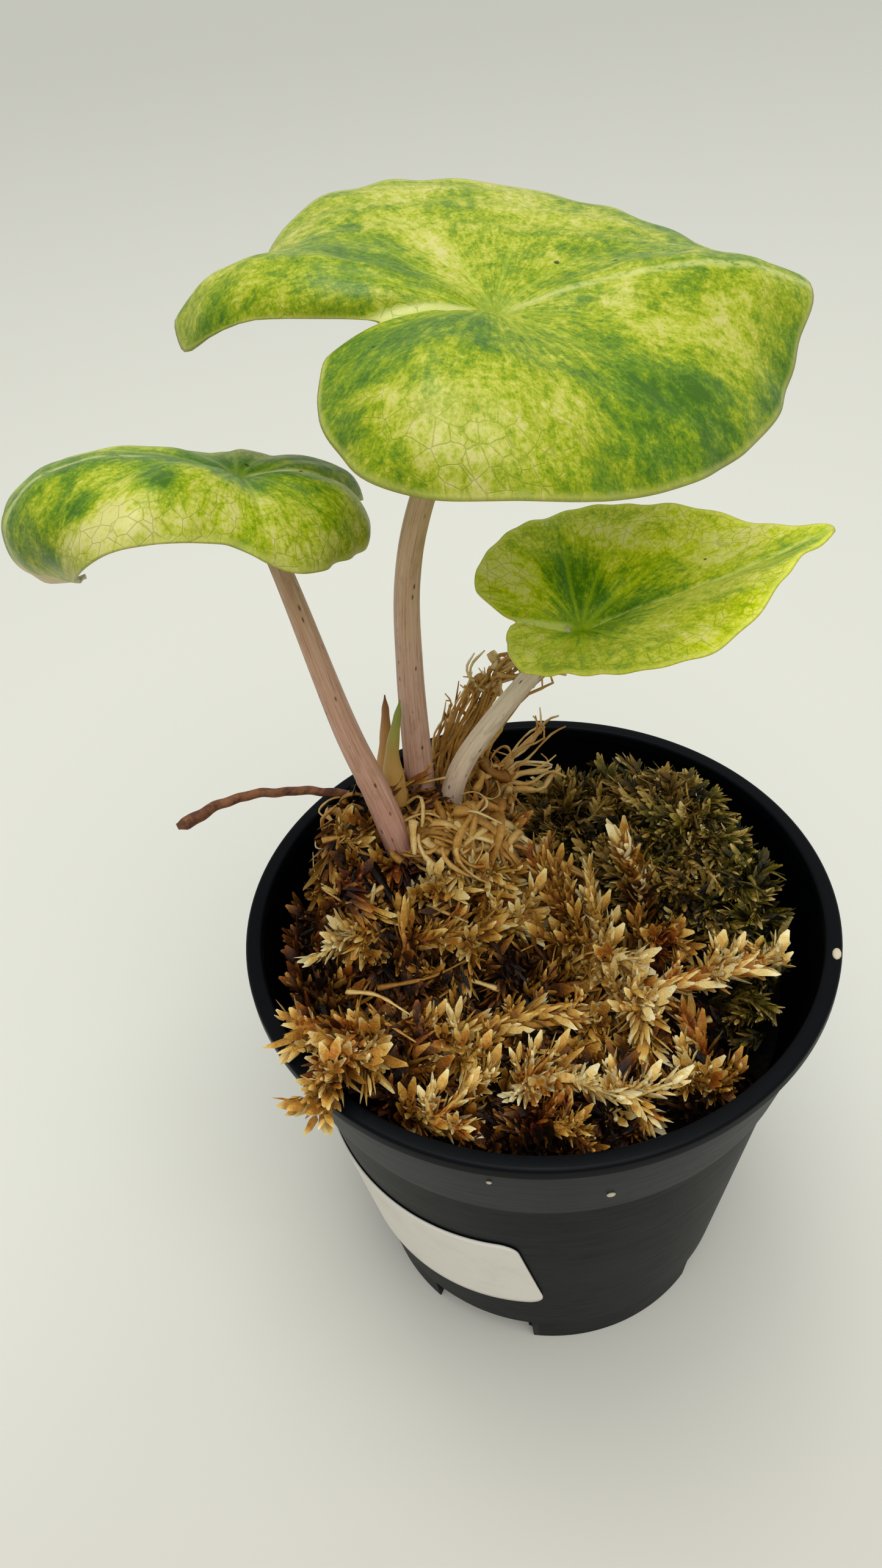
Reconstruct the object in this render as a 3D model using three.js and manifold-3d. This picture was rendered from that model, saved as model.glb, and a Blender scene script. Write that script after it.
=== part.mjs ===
// A young alocasia with three marbled leaves, rooted in long-fibre moss in a 9 cm nursery pot.
// Millimetres, +Z up. The origin is the middle of the pot's base, on the surface that it
// stands on, and the side towards -Y is its front.

import * as THREE from 'three';
import { mergeGeometries, mergeVertices } from 'three/addons/utils/BufferGeometryUtils.js';
import Module from 'manifold-3d';

const wasm = await Module();
wasm.setup();

// Gap between pieces that touch
const CLEARANCE = 0.35;

// Pot, moulded in one piece
const POT_HEIGHT = 80;
const RIM_RADIUS = 45;
const RIM_DEPTH = 2.2;
const WALL = 1.2;
const FOOT_RADIUS = 31.6;
const BAND_FOOT_HEIGHT = 61.6;
const BAND_FOOT_RADIUS = 41;
const BAND_TOP_RADIUS = 44.2;
const WALL_TOP_RADIUS = 40;
const WALL_RISE = (WALL_TOP_RADIUS - FOOT_RADIUS) / BAND_FOOT_HEIGHT;
const SKIRT_HEIGHT = 8.1;
const SKIRT_STEP = 0.3;
const CHANNEL_INNER_RADIUS = 22;
const CHANNEL_OUTER_RADIUS = 29.8;
const CHANNEL_HEIGHT = 7.5;
const NOTCH_HEIGHT = 7;
const NOTCH_ANGLE = 34;
const NOTCH_HEADINGS = [-119, -29, 61, 151];
const DRAIN_RADIUS = 2.5;
const POT_SIDES = 48;

// Paper label, wrapped on the wall
const LABEL_LENGTH = 66.7;
const LABEL_HEIGHT = 25.4;
const LABEL_CORNER = 3;
const LABEL_PAPER = 0.3;
const LABEL_GAP = 0.25;
const LABEL_HEADING = -153.6;
const LABEL_MIDDLE_HEIGHT = 30.8;
const LABEL_TILT = 1.7;

// Leaves. A rib leaves the stalk at its heading, in degrees from the tip, positive to the left
// of it seen from above. It is as long as given, in mm, it starts at its lift and ends at its
// droop, in degrees above level, and it bends sideways by its sweep.
const BLADE_THICKNESS = 0.7;
const BLADE_SIDES = 48;
const BLADE_RINGS = 6;
const RIB_STEPS = 24;
const LEAVES = {
  large: {
    joint: [-1, 11.5, 166.5], turn: 14, pitch: -3, roll: 10,
    notchDepth: 0.45, notchWidth: 11, point: 2.4, pointWidth: 7,
    ribs: [
      // heading, length, lift, droop, sweep
      [-165, 24, 15, -35, -5],
      [-150, 29.5, 20, -55, 0],
      [-130, 36, 25, -65, 5],
      [-105, 34, 20, -55, 5],
      [-75, 32, 10, -60, 5],
      [-45, 34, 5, -60, 5],
      [-20, 38, 5, -55, 5],
      [0, 40, 10, -35, 0],
      [20, 41, 5, -35, 0],
      [45, 36, 5, -25, 0],
      [75, 34, 5, -15, 5],
      [105, 38, 5, -20, 5],
      [130, 40, 10, -60, 0],
      [142, 43, 12, -62, -4],
      [150, 43.5, 15, -66, -8],
      [158, 42, 15, -72, -10],
      [167, 31, 15, -40, -10],
    ],
  },
  left: {
    joint: [-33.5, 13, 149.5], turn: 194, pitch: 11, roll: -11,
    notchDepth: 0.3, notchWidth: 13, point: 1, pointWidth: 8,
    ribs: [
      [-165, 24, 0, -75, 0],
      [-150, 24, -5, -80, 0],
      [-130, 20, -10, -90, 0],
      [-105, 17, -10, -90, 0],
      [-75, 19, -15, -70, 0],
      [-45, 27, -5, -65, 5],
      [-20, 43, 5, -130, 10],
      [0, 46.5, 20, -195, 10],
      [20, 37, 30, -150, 5],
      [45, 27, 35, -55, 0],
      [75, 18, 30, -40, -5],
      [105, 19, 20, -65, -5],
      [130, 20, 20, -90, 0],
      [150, 22, 20, -105, 0],
      [165, 22, 15, -90, 0],
    ],
  },
  right: {
    joint: [9, 13.5, 121], turn: -1, pitch: 2, roll: 3,
    notchDepth: 0.3, notchWidth: 13, point: 2.5, pointWidth: 7,
    ribs: [
      [-160, 12, 15, 20, 0],
      [-130, 16, 15, 15, 0],
      [-90, 18, 20, 15, 0],
      [-50, 25, 25, 10, 0],
      [-20, 30, 25, 25, 0],
      [0, 33, 15, 25, 0],
      [20, 29, 15, 10, 0],
      [50, 23, 25, 5, 0],
      [90, 20, 30, 0, 0],
      [130, 18, 30, 5, 0],
      [160, 16, 20, 15, 0],
    ],
  },
};

// Stalks, from the corm up to the joint under each blade
const STALK_SIDES = 8;
const STALK_STEPS = 12;
const STALKS = {
  large: {
    foot: 5, head: 2.5,
    route: [[-16.4, 20.2, 75.4], [-16, 20, 88], [-15.4, 16, 115], [-14.2, 13, 132], [-11.4, 11, 144]],
  },
  left: {
    foot: 4.9, head: 2.3,
    route: [
      [-18.8, 12, 75.4], [-20.3, 10.4, 86], [-22.4, 10.4, 97], [-25.3, 10.5, 109], [-30.2, 10.5, 137],
    ],
  },
  right: {
    foot: 4, head: 2.4,
    route: [[-12, 17.4, 75.4], [-11.2, 17.8, 88], [-8.9, 17, 95.5], [-4.7, 16, 103], [2.5, 14.5, 113.5]],
  },
};

// Corm, hidden in the moss, with the stumps of its roots
const CORM_PLACE = [-15.8, 16.4];
const CORM_FOOT = 57;
const CORM_TOP = 75;
const CORM_RADIUS = 8.4;
const CORM_SIDES = 14;
const CORM_SWELL = [
  // share of the radius, share of the height
  [0.55, 0.02], [0.9, 0.2], [1, 0.42], [0.94, 0.62], [0.97, 0.72], [0.8, 0.9], [0.55, 1],
];
const ROOT_COUNT = 5;
const ROOT_FIRST_HEADING = 20;
const ROOT_TAPER = [[1, 0], [1, 0.5], [0.6, 1]];
const ROOT_SIDES = 5;
const ROOT_ROUTE = [
  // distance from the corm's middle, height above its foot
  [4, 6], [7, 2], [8, -9],
];
const ROOT_RADIUS = 1.3;

// New growth between the stalks, and a dry stalk across the rim
const SPIKE_SWELL = [[0.6, 0], [1, 0.3], [0.85, 0.5], [0.5, 0.7], [0.3, 0.9]];
const SPIKE_SIDES = 7;
const SHEATH_BROWN = {
  radius: 2.1,
  route: [[-20.8, 20.9, 78], [-20.9, 20.9, 90], [-20.7, 21.5, 96.5], [-20.3, 21.5, 106.5]],
};
const SHEATH_GREEN = {
  radius: 2.1,
  route: [[-19.4, 16.9, 78], [-19.6, 16.3, 91], [-19.6, 15.5, 100], [-17.9, 14.2, 111]],
};
const DRY_ROOT_TAPER = [[0.6, 0], [0.65, 0.25], [0.7, 0.5], [0.75, 0.75], [1, 0.96]];
const DRY_ROOT_SIDES = 6;
const DRY_ROOT = {
  radius: 1.15,
  route: [[-22, 24.5, 81], [-30, 25, 84.8], [-38, 26, 85.4], [-47, 25.5, 85.5], [-56.5, 21, 84.6]],
};

// Moss. The tan bed fills the pot, and the olive bank lies on it at the back right.
const MOSS_LEVEL = 66;
const MOSS_RADIUS = 38.2;
// The bed's lumps, and how deep it dips beside the wall, from a reach and over a width
const MOSS_LUMP = 1.3;
const WALL_DIP = 3;
const WALL_DIP_REACH = 31;
const WALL_DIP_WIDTH = 7;
const MOSS_SIDES = 40;
const MOSS_RINGS = 9;
const MOSS_MOUNDS = [
  // x, y, height, spread
  [-16, 17, 19, 9],
  [-29, 21, 12, 7],
  [-7, -3, 11, 10],
  [14, -9, 5, 7],
  [-26, -3, 8, 5.5],
  [-29, -22, 11, 6],
  [-16, -30, 7, 8],
  [6, -35, 9, 8],
  [20, -28, 4, 6],
  [24, 13, -6, 11],
  [-34, 3, 7, 6],
];
const MOSS_HOLLOWS = [
  [-23, 6, -4, 2.6],
  [-4, 7.5, -5, 3.2],
  [-12.5, -11, -4, 3.2],
  [-1, -12.5, -4, 3],
  [-21, -23, -4, 3.5],
  [-10, -29, -3, 3],
  [12, -22, -4, 3.5],
  [25, -21, -5, 4.5],
];
const BANK_CENTRE = [22, 13];
const BANK_REACH = [
  // heading, reach from the bank's centre
  [-177, 16], [-155, 10], [-130, 9], [-108, 10], [-94, 17], [-79, 24], [-62, 26],
  [-35, 20], [0, 14], [48, 13], [90, 18.5], [118, 24], [136, 28], [156, 23],
];
const BANK_FLOOR = 62.5;
const BANK_LEVEL = 73;
const BANK_MOUNDS = [[27, 21, 6, 8], [34, 2, 3, 7], [10, 26, 2, 6], [26, -6, -2, 5]];
const BANK_EDGE_HEIGHT = 66.5;
const BANK_LUMP = 0.9;
const BANK_SIDES = 30;
const BANK_RINGS = 5;

// Strands of the moss that stand out by themselves
const STRANDS = [
  // across the front
  {
    radius: 2,
    route: [[-28, -13, 71], [-18, -19, 75], [-9, -19.5, 76.5], [-0.5, -17.8, 76.5], [6, -19, 75]],
  },
  // across the right, and its branch that hooks down
  {
    radius: 2.1,
    route: [[5, -15, 72], [11, -16, 76.5], [19, -16.5, 78.5], [27, -15.5, 79], [34.5, -13.8, 78]],
  },
  { radius: 2, route: [[9, -15, 73], [11.6, -19, 79], [12, -24, 77.5], [11.7, -27.5, 73.5]] },
  // upright, before the bank
  { radius: 2.6, route: [[16, -2, 71], [15.6, -1.4, 80], [14.8, -1.5, 86], [12.4, -1, 93]] },
  { radius: 2.2, route: [[3.5, -7, 74], [2.6, -3, 82], [2, 1.5, 86]] },
  { radius: 1.9, route: [[5.5, -8, 74], [5.2, -5.5, 81], [4.2, -3.5, 85.2]] },
  { radius: 1.8, route: [[8, -9, 74], [8.2, -6, 82], [7, -4, 86]] },
  { radius: 2, route: [[12, -7, 73], [17, -8, 79], [19.5, -9, 81]] },
  // over the middle
  { radius: 2.2, route: [[-22, -1, 73], [-18, -4.5, 79.5], [-12.5, -4.8, 80.5]] },
  { radius: 2.2, route: [[-14, -6, 75], [-8, -4.5, 81], [0, -3.5, 81.5]] },
  { radius: 2.4, route: [[-10, 7, 76], [-6.8, 5, 83], [-3, 0.5, 82]] },
  { radius: 2, route: [[-19, 5, 74], [-15, 3.5, 82.5], [-11, 1, 82]] },
  { radius: 2.4, route: [[2, -8, 73], [8, -11, 79], [13, -13.5, 79.5]] },
  { radius: 2.3, route: [[-23, 5, 72], [-25, 0, 80], [-28, -6, 79.5]] },
  { radius: 2, route: [[-24, -2, 75], [-28, -2.5, 80], [-31.5, -3.5, 80]] },
  // over the front
  { radius: 1.8, route: [[-15, -19, 72], [-13.5, -25, 76.5], [-12.6, -29, 76]] },
  { radius: 2, route: [[-8, -26, 71], [-4, -29.5, 77], [1.5, -31, 78.5], [5, -32.5, 77.5]] },
  { radius: 1.9, route: [[4, -30, 73], [8, -34, 77.5], [10.5, -37.5, 76]] },
  { radius: 1.9, route: [[-23, -29, 71], [-19, -33, 76], [-14, -35.5, 76]] },
  { radius: 1.7, route: [[-5, -32, 71], [-2, -36.5, 76.5], [1, -38, 76]] },
  { radius: 2, route: [[16, -27, 70], [17.3, -29, 74], [18, -31, 76]] },
  { radius: 1.7, route: [[20, -28, 69], [21, -31, 73], [22, -33, 74.5]] },
  // clump that leans over the rim
  { radius: 2.2, route: [[-27, -19, 74], [-30, -27, 83.4], [-32.5, -33, 83], [-33.5, -37, 81.4]] },
  { radius: 2, route: [[-29, -18, 74], [-34, -22.5, 83.4], [-39.5, -25, 83.4]] },
  { radius: 2.2, route: [[-26, -18, 74], [-27.5, -24, 82], [-25, -31, 82.6]] },
  // beside the crown
  { radius: 1.9, route: [[-31, 21, 76], [-30, 14, 84.5], [-27, 7, 82], [-26, 3, 75]] },
  // tuft behind the stalks
  { radius: 1.3, route: [[-12, 24.5, 76], [-10.5, 23.6, 95], [-6, 24, 104.5]] },
  { radius: 1.4, route: [[-9, 25.5, 74], [-7, 24.5, 95], [-2.5, 26, 105], [1.5, 25.5, 108]] },
  { radius: 1.2, route: [[-7, 26, 72], [-4.5, 25.5, 92], [1, 26.5, 101], [5.5, 26.5, 103.5]] },
  { radius: 1.3, route: [[-13, 26.5, 76], [-13, 26.5, 92], [-9.5, 27.5, 100]] },
  // loops before the stalks
  { radius: 1.5, route: [[-14, 12, 80], [-11, 9, 88], [-6, 6, 86], [-3, 3, 77]] },
  { radius: 1.5, route: [[-8, 15, 78], [-6, 12.5, 87], [-1, 8, 84], [5, 4, 79]] },
  { radius: 1.6, route: [[-22, 2, 72], [-18, 3, 81], [-13, 3.5, 82], [-9, 1, 76]] },
  // horns to the right of the tuft
  { radius: 1.5, route: [[-8, 21.5, 76], [-2.5, 24, 87.5], [5, 26, 93.5]] },
  { radius: 1.7, route: [[-7, 21, 76], [-1.5, 23, 86], [5.2, 24.5, 85.5]] },
];
const STRAND_SIDES = 4;
const SPRIG_SIDES = 3;
const SPRIG_REACH = 37.5;
const SPRIG_COUNT = 70;
const SPRIG_LENGTH = [9, 16];
const SPRIG_RADIUS = [1.2, 2.1];
const SPRIG_MIDDLE_LIFT = [1, 3];
const SPRIG_TIP_LIFT = [1.5, 5.5];
const SPRIG_ROOT_DEPTH = 2;
// Beyond this reach a sprig turns back from the wall
const SPRIG_TURN_REACH = 22;
const SPRIG_TURN_BACK = [99, 261];
// How far from the bank a sprig stays, as a share of the bank's reach
const SPRIG_BANK_SHARE = 1.2;
const TUFT_COUNT = 40;
const TUFT_LEAN = [1.5, 4.5];
const TUFT_RISE = [1.5, 4];
const TUFT_RADIUS = [1, 1.6];
const TUFT_ROOT_DEPTH = 3;
const TUFT_REACH = 0.9;
// Smallest feature of the moss that is kept
const MOSS_DETAIL = 0.32;
// Steps along a bent body's route
const ROUTE_STEPS = 50;
const GOLDEN_TURN = Math.PI * (3 - Math.sqrt(5));

const DEGREE = Math.PI / 180;

// Colours and finish, from the photograph
const finish = (color, roughness) => new THREE.MeshStandardMaterial({ color, roughness, metalness: 0 });
const POT_PLASTIC = finish(0x3c3f41, 0.55);
const LABEL_STOCK = finish(0xe4dfd6, 0.7);
const LEAF_GREEN = finish(0x93a94a, 0.4);
const STALK_PINK = finish(0xa98a7d, 0.5);
const STALK_CREAM = finish(0xc4b898, 0.5);
const CORM_BROWN = finish(0x6e5238, 0.8);
const SHEATH_TAN = finish(0xa5763c, 0.7);
const SPEAR_GREEN = finish(0xa3994e, 0.6);
const ROOT_BROWN = finish(0x6b3a1c, 0.7);
const MOSS_TAN = finish(0xb78f4e, 0.9);
const MOSS_OLIVE = finish(0x6a6431, 0.9);

const pieces = new THREE.Group();

// A closed body from a geometry, with shared corners merged and empty triangles left out
function closed(geometry) {
  const bare = geometry.index ? geometry.toNonIndexed() : geometry.clone();
  bare.deleteAttribute('normal');
  bare.deleteAttribute('uv');
  const merged = mergeVertices(bare, 1e-4);
  const corners = merged.index.array;
  const kept = [];
  for (let i = 0; i < corners.length; i += 3) {
    const [a, b, c] = [corners[i], corners[i + 1], corners[i + 2]];
    if (a !== b && b !== c && c !== a) {
      kept.push(a, b, c);
    }
  }
  return new wasm.Manifold(new wasm.Mesh({
    numProp: 3,
    vertProperties: Float32Array.from(merged.attributes.position.array),
    triVerts: Uint32Array.from(kept),
  }));
}

// The largest body of a solid; a cut can leave a loose crumb
function largest(solid) {
  const bodies = solid.decompose();
  return bodies.reduce((a, b) => (a.volume() > b.volume() ? a : b));
}

function addPiece(name, solid, material) {
  const mesh = solid.getMesh();
  const geometry = new THREE.BufferGeometry();
  geometry.setAttribute('position', new THREE.BufferAttribute(mesh.vertProperties, 3));
  geometry.setIndex(new THREE.BufferAttribute(mesh.triVerts, 1));
  geometry.computeVertexNormals();
  const piece = new THREE.Mesh(geometry, material);
  piece.name = name;
  pieces.add(piece);
}

// A solid of revolution about +Z, from [radius, height] points that run up the outside
function turned(profile, sides) {
  const points = profile.map(([r, z]) => new THREE.Vector2(r, z));
  return new THREE.LatheGeometry(points, sides).rotateX(Math.PI / 2);
}

// Repeatable draws; each gives a value in the range that it is called with
function draws(start) {
  let state = start;
  return ([low, high]) => {
    state = (state * 16807) % 2147483647;
    return low + ((high - low) * state) / 2147483647;
  };
}

// A smooth value round the compass through [heading, value] points
function around(points, heading) {
  const count = points.length;
  const at = (i) => {
    const turn = Math.floor(i / count);
    const [h, value] = points[i - turn * count];
    return [h + 360 * turn, value];
  };
  const first = points[0][0];
  const h = first + ((((heading - first) % 360) + 360) % 360);
  let i = 0;
  while (at(i + 1)[0] <= h) {
    i += 1;
  }
  const [before, start, end, after] = [at(i - 1), at(i), at(i + 1), at(i + 2)];
  const slope = (a, b) => (b[1] - a[1]) / (b[0] - a[0]);
  const span = end[0] - start[0];
  const t = (h - start[0]) / span;
  const startSlope = 0.5 * (slope(before, start) + slope(start, end)) * span;
  const endSlope = 0.5 * (slope(start, end) + slope(end, after)) * span;
  return (2 * t ** 3 - 3 * t ** 2 + 1) * start[1] + (t ** 3 - 2 * t ** 2 + t) * startSlope
    + (3 * t ** 2 - 2 * t ** 3) * end[1] + (t ** 3 - t ** 2) * endSlope;
}

// Pot
function pot() {
  const skirtRadius = FOOT_RADIUS + WALL_RISE * SKIRT_HEIGHT;
  const channelTop = CHANNEL_HEIGHT + WALL;
  const body = closed(turned([
    [0, 0],
    [CHANNEL_INNER_RADIUS, 0],
    [CHANNEL_INNER_RADIUS + WALL, CHANNEL_HEIGHT],
    [CHANNEL_OUTER_RADIUS, CHANNEL_HEIGHT],
    [CHANNEL_OUTER_RADIUS, 0],
    [FOOT_RADIUS, 0],
    [skirtRadius - SKIRT_STEP, SKIRT_HEIGHT],
    [skirtRadius, SKIRT_HEIGHT],
    [WALL_TOP_RADIUS, BAND_FOOT_HEIGHT - 0.4],
    [BAND_FOOT_RADIUS, BAND_FOOT_HEIGHT],
    [BAND_TOP_RADIUS, POT_HEIGHT - RIM_DEPTH - 0.3],
    [RIM_RADIUS, POT_HEIGHT - RIM_DEPTH],
    [RIM_RADIUS, POT_HEIGHT - 0.6],
    [RIM_RADIUS - 0.5, POT_HEIGHT],
    [RIM_RADIUS - 1.9, POT_HEIGHT],
    [RIM_RADIUS - 2.5, POT_HEIGHT - 0.6],
    [BAND_TOP_RADIUS - WALL, POT_HEIGHT - RIM_DEPTH - 0.5],
    [BAND_FOOT_RADIUS - WALL, BAND_FOOT_HEIGHT],
    [WALL_TOP_RADIUS - WALL, BAND_FOOT_HEIGHT - 1.4],
    [FOOT_RADIUS + WALL_RISE * channelTop - WALL, channelTop],
    [CHANNEL_INNER_RADIUS, channelTop],
    [CHANNEL_INNER_RADIUS - WALL, WALL],
    [0, WALL],
  ], POT_SIDES));
  const notchWidth = 2 * FOOT_RADIUS * Math.sin(0.5 * NOTCH_ANGLE * DEGREE);
  const notchReach = 2 * (RIM_RADIUS - CHANNEL_OUTER_RADIUS);
  const channelMiddle = 0.5 * (CHANNEL_INNER_RADIUS + CHANNEL_OUTER_RADIUS) + 0.5;
  return NOTCH_HEADINGS.reduce((shell, heading) => {
    const notch = new THREE.BoxGeometry(notchReach, notchWidth, 2 * NOTCH_HEIGHT)
      .translate(CHANNEL_OUTER_RADIUS - 1 + 0.5 * notchReach, 0, 0)
      .rotateZ(heading * DEGREE);
    const drain = new THREE.CylinderGeometry(DRAIN_RADIUS, DRAIN_RADIUS, 4 * WALL, 12)
      .rotateX(Math.PI / 2)
      .translate(channelMiddle, 0, CHANNEL_HEIGHT + 0.5 * WALL)
      .rotateZ(heading * DEGREE);
    return shell.subtract(closed(notch)).subtract(closed(drain));
  }, body);
}

// Label. The wall is a cone, and unrolled it is flat: u runs along the label and v up it.
function onWall(u, v, offset) {
  const slope = Math.atan(WALL_RISE);
  const middleRadius = FOOT_RADIUS + WALL_RISE * LABEL_MIDDLE_HEIGHT;
  const tilt = LABEL_TILT * DEGREE;
  const across = u * Math.cos(tilt) - v * Math.sin(tilt);
  const outward = middleRadius / Math.sin(slope) + u * Math.sin(tilt) + v * Math.cos(tilt);
  const slant = Math.hypot(across, outward);
  const heading = LABEL_HEADING * DEGREE + Math.atan2(across, outward) / Math.sin(slope);
  const radius = slant * Math.sin(slope) + offset * Math.cos(slope);
  const height = slant * Math.cos(slope) - FOOT_RADIUS / Math.tan(slope) - offset * Math.sin(slope);
  return [radius * Math.cos(heading), radius * Math.sin(heading), height];
}

function label() {
  const cornerSteps = 3;
  const straightSteps = 20;
  const half = 0.5 * LABEL_LENGTH;
  const stations = [];
  for (let i = 0; i <= cornerSteps; i += 1) {
    const angle = 0.5 * Math.PI * (i / cornerSteps);
    stations.push([half - LABEL_CORNER * (1 - Math.cos(angle)), LABEL_CORNER * (1 - Math.sin(angle))]);
  }
  const inner = half - LABEL_CORNER;
  for (let i = 1; i < straightSteps; i += 1) {
    stations.push([inner * (1 - (2 * i) / straightSteps), 0]);
  }
  for (let i = cornerSteps; i >= 0; i -= 1) {
    stations.push([-stations[i][0], stations[i][1]]);
  }
  stations.reverse();
  const steps = stations.length - 1;
  const strip = new THREE.BoxGeometry(steps, LABEL_HEIGHT, LABEL_PAPER, steps, 1, 1);
  const place = strip.attributes.position;
  for (let i = 0; i < place.count; i += 1) {
    const [along, inset] = stations[Math.round(place.getX(i) + 0.5 * steps)];
    const up = place.getY(i) - Math.sign(place.getY(i)) * inset;
    const offset = LABEL_GAP + 0.5 * LABEL_PAPER + place.getZ(i);
    place.setXYZ(i, ...onWall(along, up, offset));
  }
  return closed(strip);
}

// Blades. Their normals are taken no nearer to the stalk than this share of a rib.
const INNERMOST_SHARE = 0.08;

function ribValue(leaf, heading, column) {
  return around(leaf.ribs.map((rib) => [rib[0], rib[column]]), heading);
}

function ribLength(leaf, heading) {
  const toNotch = (180 - Math.abs(heading)) / leaf.notchWidth;
  const toTip = heading / leaf.pointWidth;
  return ribValue(leaf, heading, 1) * (1 - leaf.notchDepth * Math.exp(-(toNotch ** 2)))
    + leaf.point * Math.exp(-(toTip ** 2));
}

// A point of the blade's middle surface; share runs from 0 at the stalk to 1 at the margin
function bladePoint(leaf, heading, share) {
  const length = ribLength(leaf, heading);
  const lift = ribValue(leaf, heading, 2) * DEGREE;
  const droop = ribValue(leaf, heading, 3) * DEGREE;
  const sweep = ribValue(leaf, heading, 4) * DEGREE;
  const point = new THREE.Vector3();
  for (let i = 0; i < RIB_STEPS; i += 1) {
    const s = ((i + 0.5) / RIB_STEPS) * share;
    const rise = lift + (droop - lift) * s ** 2;
    const side = heading * DEGREE + sweep * s ** 2;
    const level = Math.cos(rise);
    point.add(new THREE.Vector3(level * Math.cos(side), level * Math.sin(side), Math.sin(rise)));
  }
  point.multiplyScalar((length * share) / RIB_STEPS);
  point.applyAxisAngle(new THREE.Vector3(1, 0, 0), leaf.roll * DEGREE);
  point.applyAxisAngle(new THREE.Vector3(0, 1, 0), -leaf.pitch * DEGREE);
  point.applyAxisAngle(new THREE.Vector3(0, 0, 1), leaf.turn * DEGREE);
  return point.add(new THREE.Vector3(...leaf.joint));
}

function bladeNormal(leaf, heading, share) {
  const s = Math.max(share, INNERMOST_SHARE);
  const along = bladePoint(leaf, heading, s + 0.02).sub(bladePoint(leaf, heading, s - 0.02));
  const across = bladePoint(leaf, heading + 1, s).sub(bladePoint(leaf, heading - 1, s));
  return along.cross(across).normalize();
}

function middleNormal(leaf) {
  const normal = new THREE.Vector3();
  for (let heading = -180; heading < 180; heading += 15) {
    normal.add(bladeNormal(leaf, heading, INNERMOST_SHARE));
  }
  return normal.normalize();
}

// The upper and lower faces are one disc of rings, split alike, and a hoop joins their margins
function blade(leaf, thickness) {
  const shares = [...Array(BLADE_RINGS + 1).keys()].map((k) => k / BLADE_RINGS);
  const upper = turned(shares.map((s) => [s, 1]).reverse(), BLADE_SIDES);
  const lower = turned(shares.map((s) => [s, -1]), BLADE_SIDES);
  for (let i = 0; i < lower.index.count; i += 3) {
    const [a, b, c] = [0, 1, 2].map((k) => upper.index.getX(i + k));
    lower.index.setX(i, a);
    lower.index.setX(i + 1, c);
    lower.index.setX(i + 2, b);
  }
  lower.attributes.position.copy(upper.attributes.position);
  for (let i = 0; i < lower.attributes.position.count; i += 1) {
    lower.attributes.position.setZ(i, -1);
  }
  const hoop = turned([[1, -1], [1, 1]], BLADE_SIDES);
  const shell = mergeGeometries([upper, lower, hoop]);
  const place = shell.attributes.position;
  const centreNormal = middleNormal(leaf);
  for (let i = 0; i < place.count; i += 1) {
    const share = Math.min(1, Math.hypot(place.getX(i), place.getY(i)));
    const side = Math.sign(place.getZ(i));
    const turn = Math.round((Math.atan2(place.getY(i), place.getX(i)) / DEGREE) * 1e3) / 1e3;
    const heading = turn <= -179.99 ? 180 : turn;
    const atCentre = share < 1e-6;
    const normal = atCentre ? centreNormal : bladeNormal(leaf, heading, share);
    const point = bladePoint(leaf, atCentre ? 0 : heading, share);
    point.addScaledVector(normal, 0.5 * side * thickness);
    place.setXYZ(i, point.x, point.y, point.z);
  }
  return closed(shell);
}

// A round body bent along a route: the profile gives its radius at shares of the route's length
function bent(profile, sides, route, steps) {
  const curve = new THREE.CatmullRomCurve3(route.map((p) => new THREE.Vector3(...p)));
  const body = turned(profile, sides);
  const frames = curve.computeFrenetFrames(steps, false);
  const place = body.attributes.position;
  for (let i = 0; i < place.count; i += 1) {
    const share = Math.min(1, Math.max(0, place.getZ(i)));
    const frame = Math.round(share * steps);
    const point = curve.getPointAt(share)
      .addScaledVector(frames.normals[frame], place.getX(i))
      .addScaledVector(frames.binormals[frame], place.getY(i));
    place.setXYZ(i, point.x, point.y, point.z);
  }
  return closed(body);
}

// Stalks
function stalk(name, grow) {
  const spec = STALKS[name];
  const profile = [[0, 0]];
  for (let i = 0; i <= STALK_STEPS; i += 1) {
    const share = i / STALK_STEPS;
    profile.push([0.5 * (spec.foot + (spec.head - spec.foot) * share) + grow, share]);
  }
  profile.push([0, 1]);
  return bent(profile, STALK_SIDES, [...spec.route, LEAVES[name].joint], STALK_STEPS);
}

// New growth: a spike that swells a little above its foot and ends in a fine tip
function spike(spec, grow) {
  const profile = [[0, 0], ...SPIKE_SWELL.map(([r, share]) => [r * spec.radius + grow, share]), [0, 1]];
  return bent(profile, SPIKE_SIDES, spec.route, ROUTE_STEPS);
}

function dryRoot(grow) {
  const swell = DRY_ROOT_TAPER.map(([r, share]) => [r * DRY_ROOT.radius + grow, share]);
  return bent([[0, 0], ...swell, [0, 1]], DRY_ROOT_SIDES, DRY_ROOT.route, ROUTE_STEPS);
}

// Corm
function corm(grow) {
  const height = CORM_TOP - CORM_FOOT;
  const side = CORM_SWELL.map(([r, share]) => [r * CORM_RADIUS + grow, CORM_FOOT + share * height]);
  side[0][1] -= grow;
  side[side.length - 1][1] += grow;
  const profile = [[0, side[0][1]], ...side, [0, CORM_TOP + grow]];
  let whole = closed(turned(profile, CORM_SIDES).translate(...CORM_PLACE, 0));
  const rootProfile = [[0, 0], ...ROOT_TAPER.map(([r, share]) => [r * ROOT_RADIUS + grow, share]), [0, 1]];
  for (let i = 0; i < ROOT_COUNT; i += 1) {
    const heading = ((i * 360) / ROOT_COUNT + ROOT_FIRST_HEADING) * DEGREE;
    const route = ROOT_ROUTE.map(([out, up]) => [
      CORM_PLACE[0] + out * Math.cos(heading),
      CORM_PLACE[1] + out * Math.sin(heading),
      CORM_FOOT + up,
    ]);
    whole = whole.add(bent(rootProfile, ROOT_SIDES, route, ROUTE_STEPS));
  }
  return whole;
}

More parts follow.
